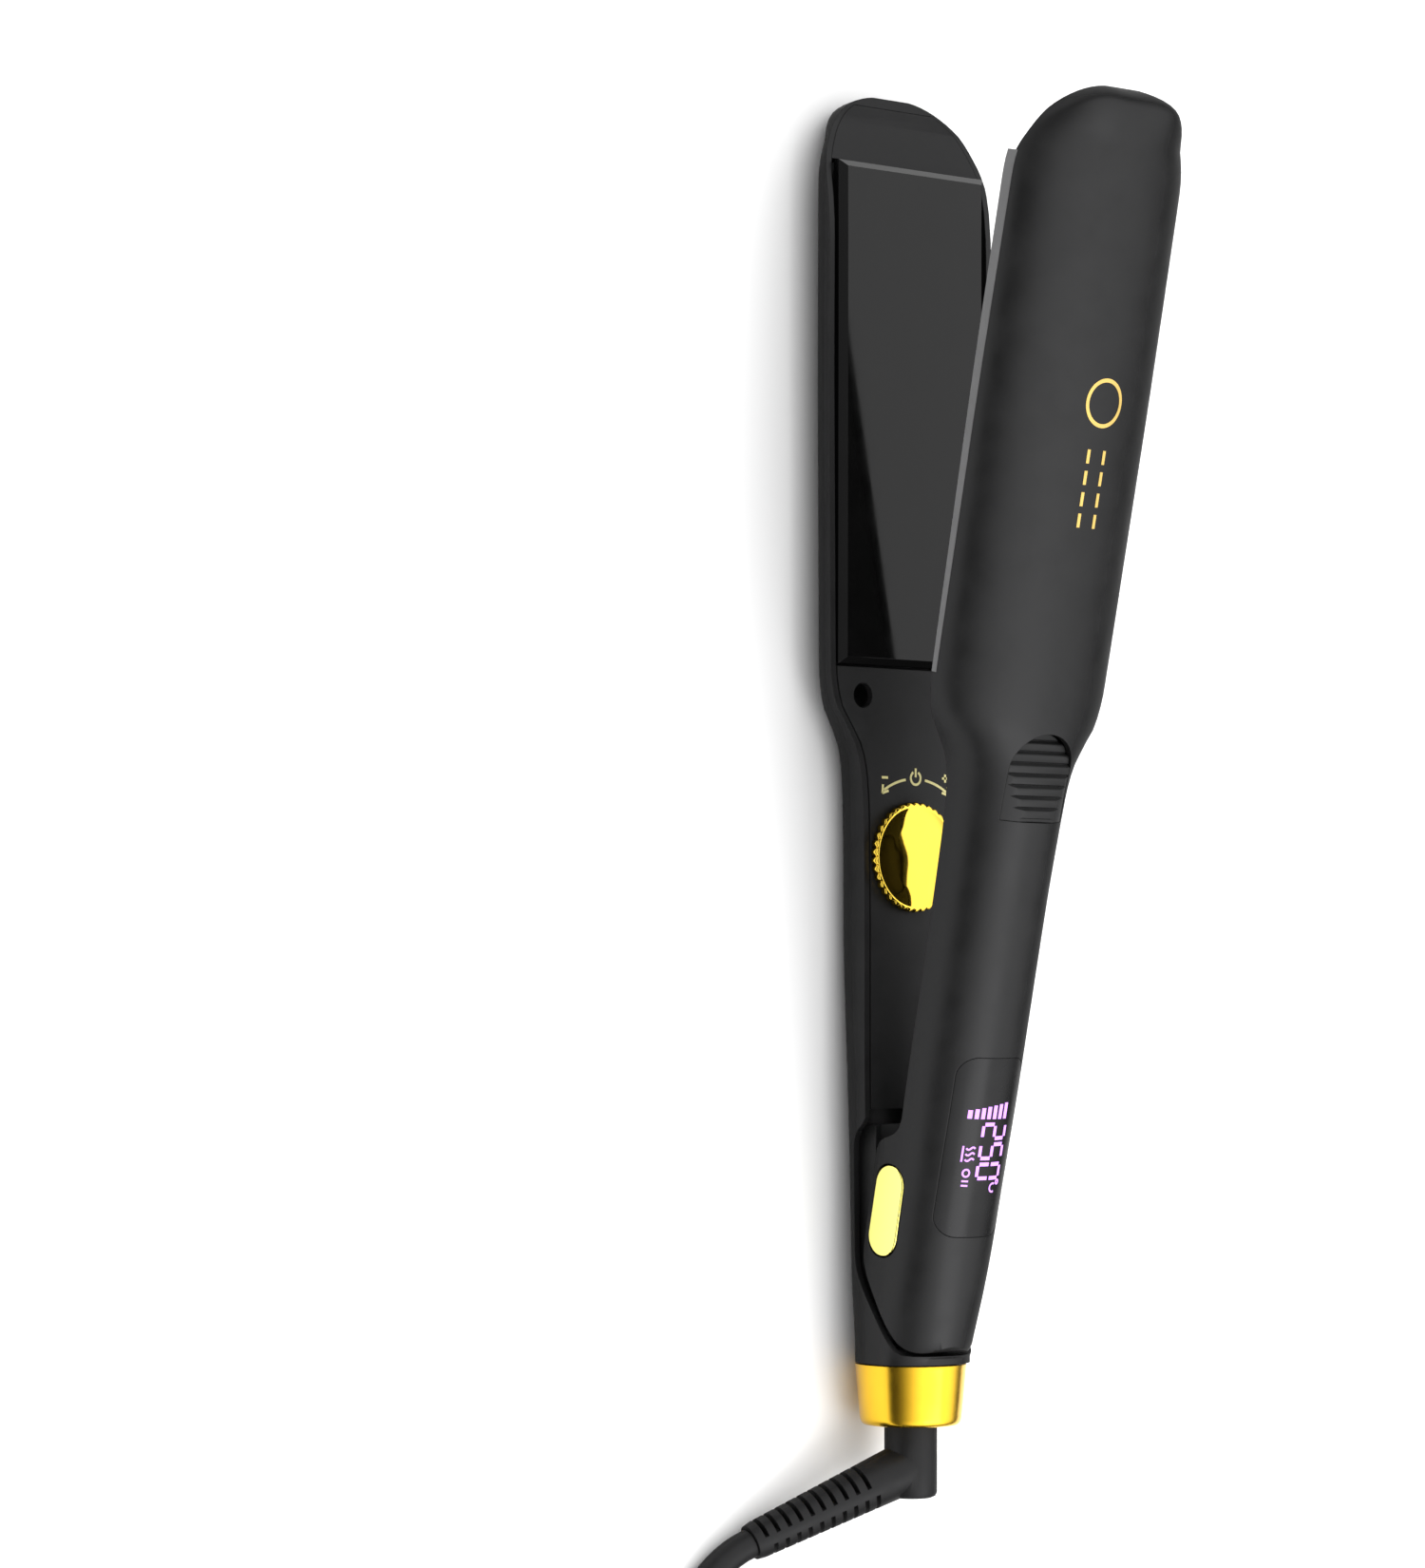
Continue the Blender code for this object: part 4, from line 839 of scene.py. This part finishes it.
def cord():
    relief, tie, plug = strain_relief(), coil_tie(), plug_body()
    points = cord_line()
    body = tube("mains_cord", points, [CORD_RADIUS] * len(points), 20)
    body.data.materials.append(LOOKS["cord"].material)
    shade(body, 50)
    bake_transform(body)
    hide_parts("cord_lead", "cord_coil", "cord_end")


# ---------------------------------------------------------------- carried-over CAD nodes
def dress_cad_nodes():
    """Looks and softened edges for the CAD pieces that stay as they are."""
    slots = {"lower_plate": "plate", "upper_plate": "plate", "lower_cover": "cover", "upper_cover": "cover",
             "control_board": "board", "display_board": "board", "lower_heater": "ceramic",
             "upper_heater": "ceramic", "hinge_bush_left": "brass", "hinge_bush_right": "brass",
             "swivel_plug": "brass", "plug_pin_left": "brass", "plug_pin_right": "brass"}
    steel = ("clip", "screw", "sensor", "fuse", "capacitor", "bracket", "pin", "spring")
    for name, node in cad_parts.items():
        if node.hide_render:
            continue
        slot = slots.get(name)
        if slot is None and "cushion" in name:
            slot = "silicone"
        if slot is None:
            slot = "steel" if any(word in name for word in steel) else "inner"
        node.data.materials.clear()
        node.data.materials.append(LOOKS[slot].material)
        edge = node.modifiers.new("edge", "BEVEL")
        edge.width, edge.segments, edge.limit_method = NODE_EDGE * MM, 2, "ANGLE"
        edge.angle_limit = math.radians(NODE_EDGE_ANGLE)


# ---------------------------------------------------------------- studio
# Sky direction along an axis at which the light starts and stops rising, and its two strengths
SKY_FADES = {"Z": (0.1, 0.65, 0.06, 2.1), "X": (-0.95, -0.25, 0.12, 1.0)}
CAMERA_PLACE = Vector((-0.71596, -0.05405, 0.81435))
CAMERA_TURNS = (39.469, 2.547, 0.145)      # yaw, pitch and roll in degrees
CAMERA_LENS = 111.16
LAMP_PLACE, LAMP_ENERGY = (0.25, -0.75, 1.1), 5.0


def camera():
    yaw, pitch, roll = (math.radians(a) for a in CAMERA_TURNS)
    right = Vector((math.cos(yaw), 0, math.sin(yaw)))
    back = Vector((-math.sin(yaw), 0, math.cos(yaw)))
    up = Vector((0, 1, 0))
    up, back = up * math.cos(pitch) + back * math.sin(pitch), back * math.cos(pitch) - up * math.sin(pitch)
    right, up = right * math.cos(roll) + up * math.sin(roll), up * math.cos(roll) - right * math.sin(roll)
    data = bpy.data.cameras.new("camera")
    data.sensor_width, data.lens = 36.0, CAMERA_LENS
    data.clip_start, data.clip_end = 0.01, 20.0
    item = link(bpy.data.objects.new("camera", data))
    matrix = Matrix((right, up, back)).transposed().to_4x4()
    item.matrix_world = Matrix.Translation(CAMERA_PLACE) @ matrix
    bpy.context.scene.camera = item


def studio():
    """Large pale floor, and light from above that fades towards the horizon and the -X side."""
    data = bmesh.new()
    bmesh.ops.create_grid(data, x_segments=8, y_segments=8, size=1.6)
    floor = mesh_object("studio_floor", data)
    floor.data.materials.append(LOOKS["floor"].material)
    floor.location = (0.2, -0.1, 0.0)
    world = bpy.data.worlds.new("studio")
    world.use_nodes = True
    tree = world.node_tree
    coordinates = tree.nodes.new("ShaderNodeTexCoord")
    split = tree.nodes.new("ShaderNodeSeparateXYZ")
    tree.links.new(coordinates.outputs["Generated"], split.inputs["Vector"])
    ramps = []
    for axis, values in SKY_FADES.items():
        ramp = tree.nodes.new("ShaderNodeMapRange")
        ramp.interpolation_type = "SMOOTHSTEP"
        for key, value in zip(("From Min", "From Max", "To Min", "To Max"), values):
            ramp.inputs[key].default_value = value
        tree.links.new(split.outputs[axis], ramp.inputs["Value"])
        ramps.append(ramp)
    product = tree.nodes.new("ShaderNodeMath")
    product.operation = "MULTIPLY"
    for k, ramp in enumerate(ramps):
        tree.links.new(ramp.outputs["Result"], product.inputs[k])
    tree.links.new(product.outputs["Value"], tree.nodes["Background"].inputs["Strength"])
    tree.nodes["Background"].inputs["Color"].default_value = (1.0, 1.0, 1.0, 1.0)
    bpy.context.scene.world = world
    lamp = bpy.data.lights.new("soft_box", "AREA")
    lamp.shape, lamp.size, lamp.size_y, lamp.energy = "RECTANGLE", 0.9, 0.6, LAMP_ENERGY
    item = link(bpy.data.objects.new("soft_box", lamp))
    item.location = LAMP_PLACE
    aim = Vector((0.0, 0.0, 0.0)) - item.location
    item.rotation_mode = "QUATERNION"
    item.rotation_quaternion = aim.to_track_quat("-Z", "Y")
    bpy.context.scene.view_settings.view_transform = "Standard"


LOOKS.update(make_looks())
camera()
cord()
lower_shell()
upper_shell()
nose_trays()
upper_rim_highlight_strip()
thumb_grip()
display_lens()
hinge_pills()
dial()
collar()
cover_marks()
display_figures()
ornament()
dress_cad_nodes()
studio()
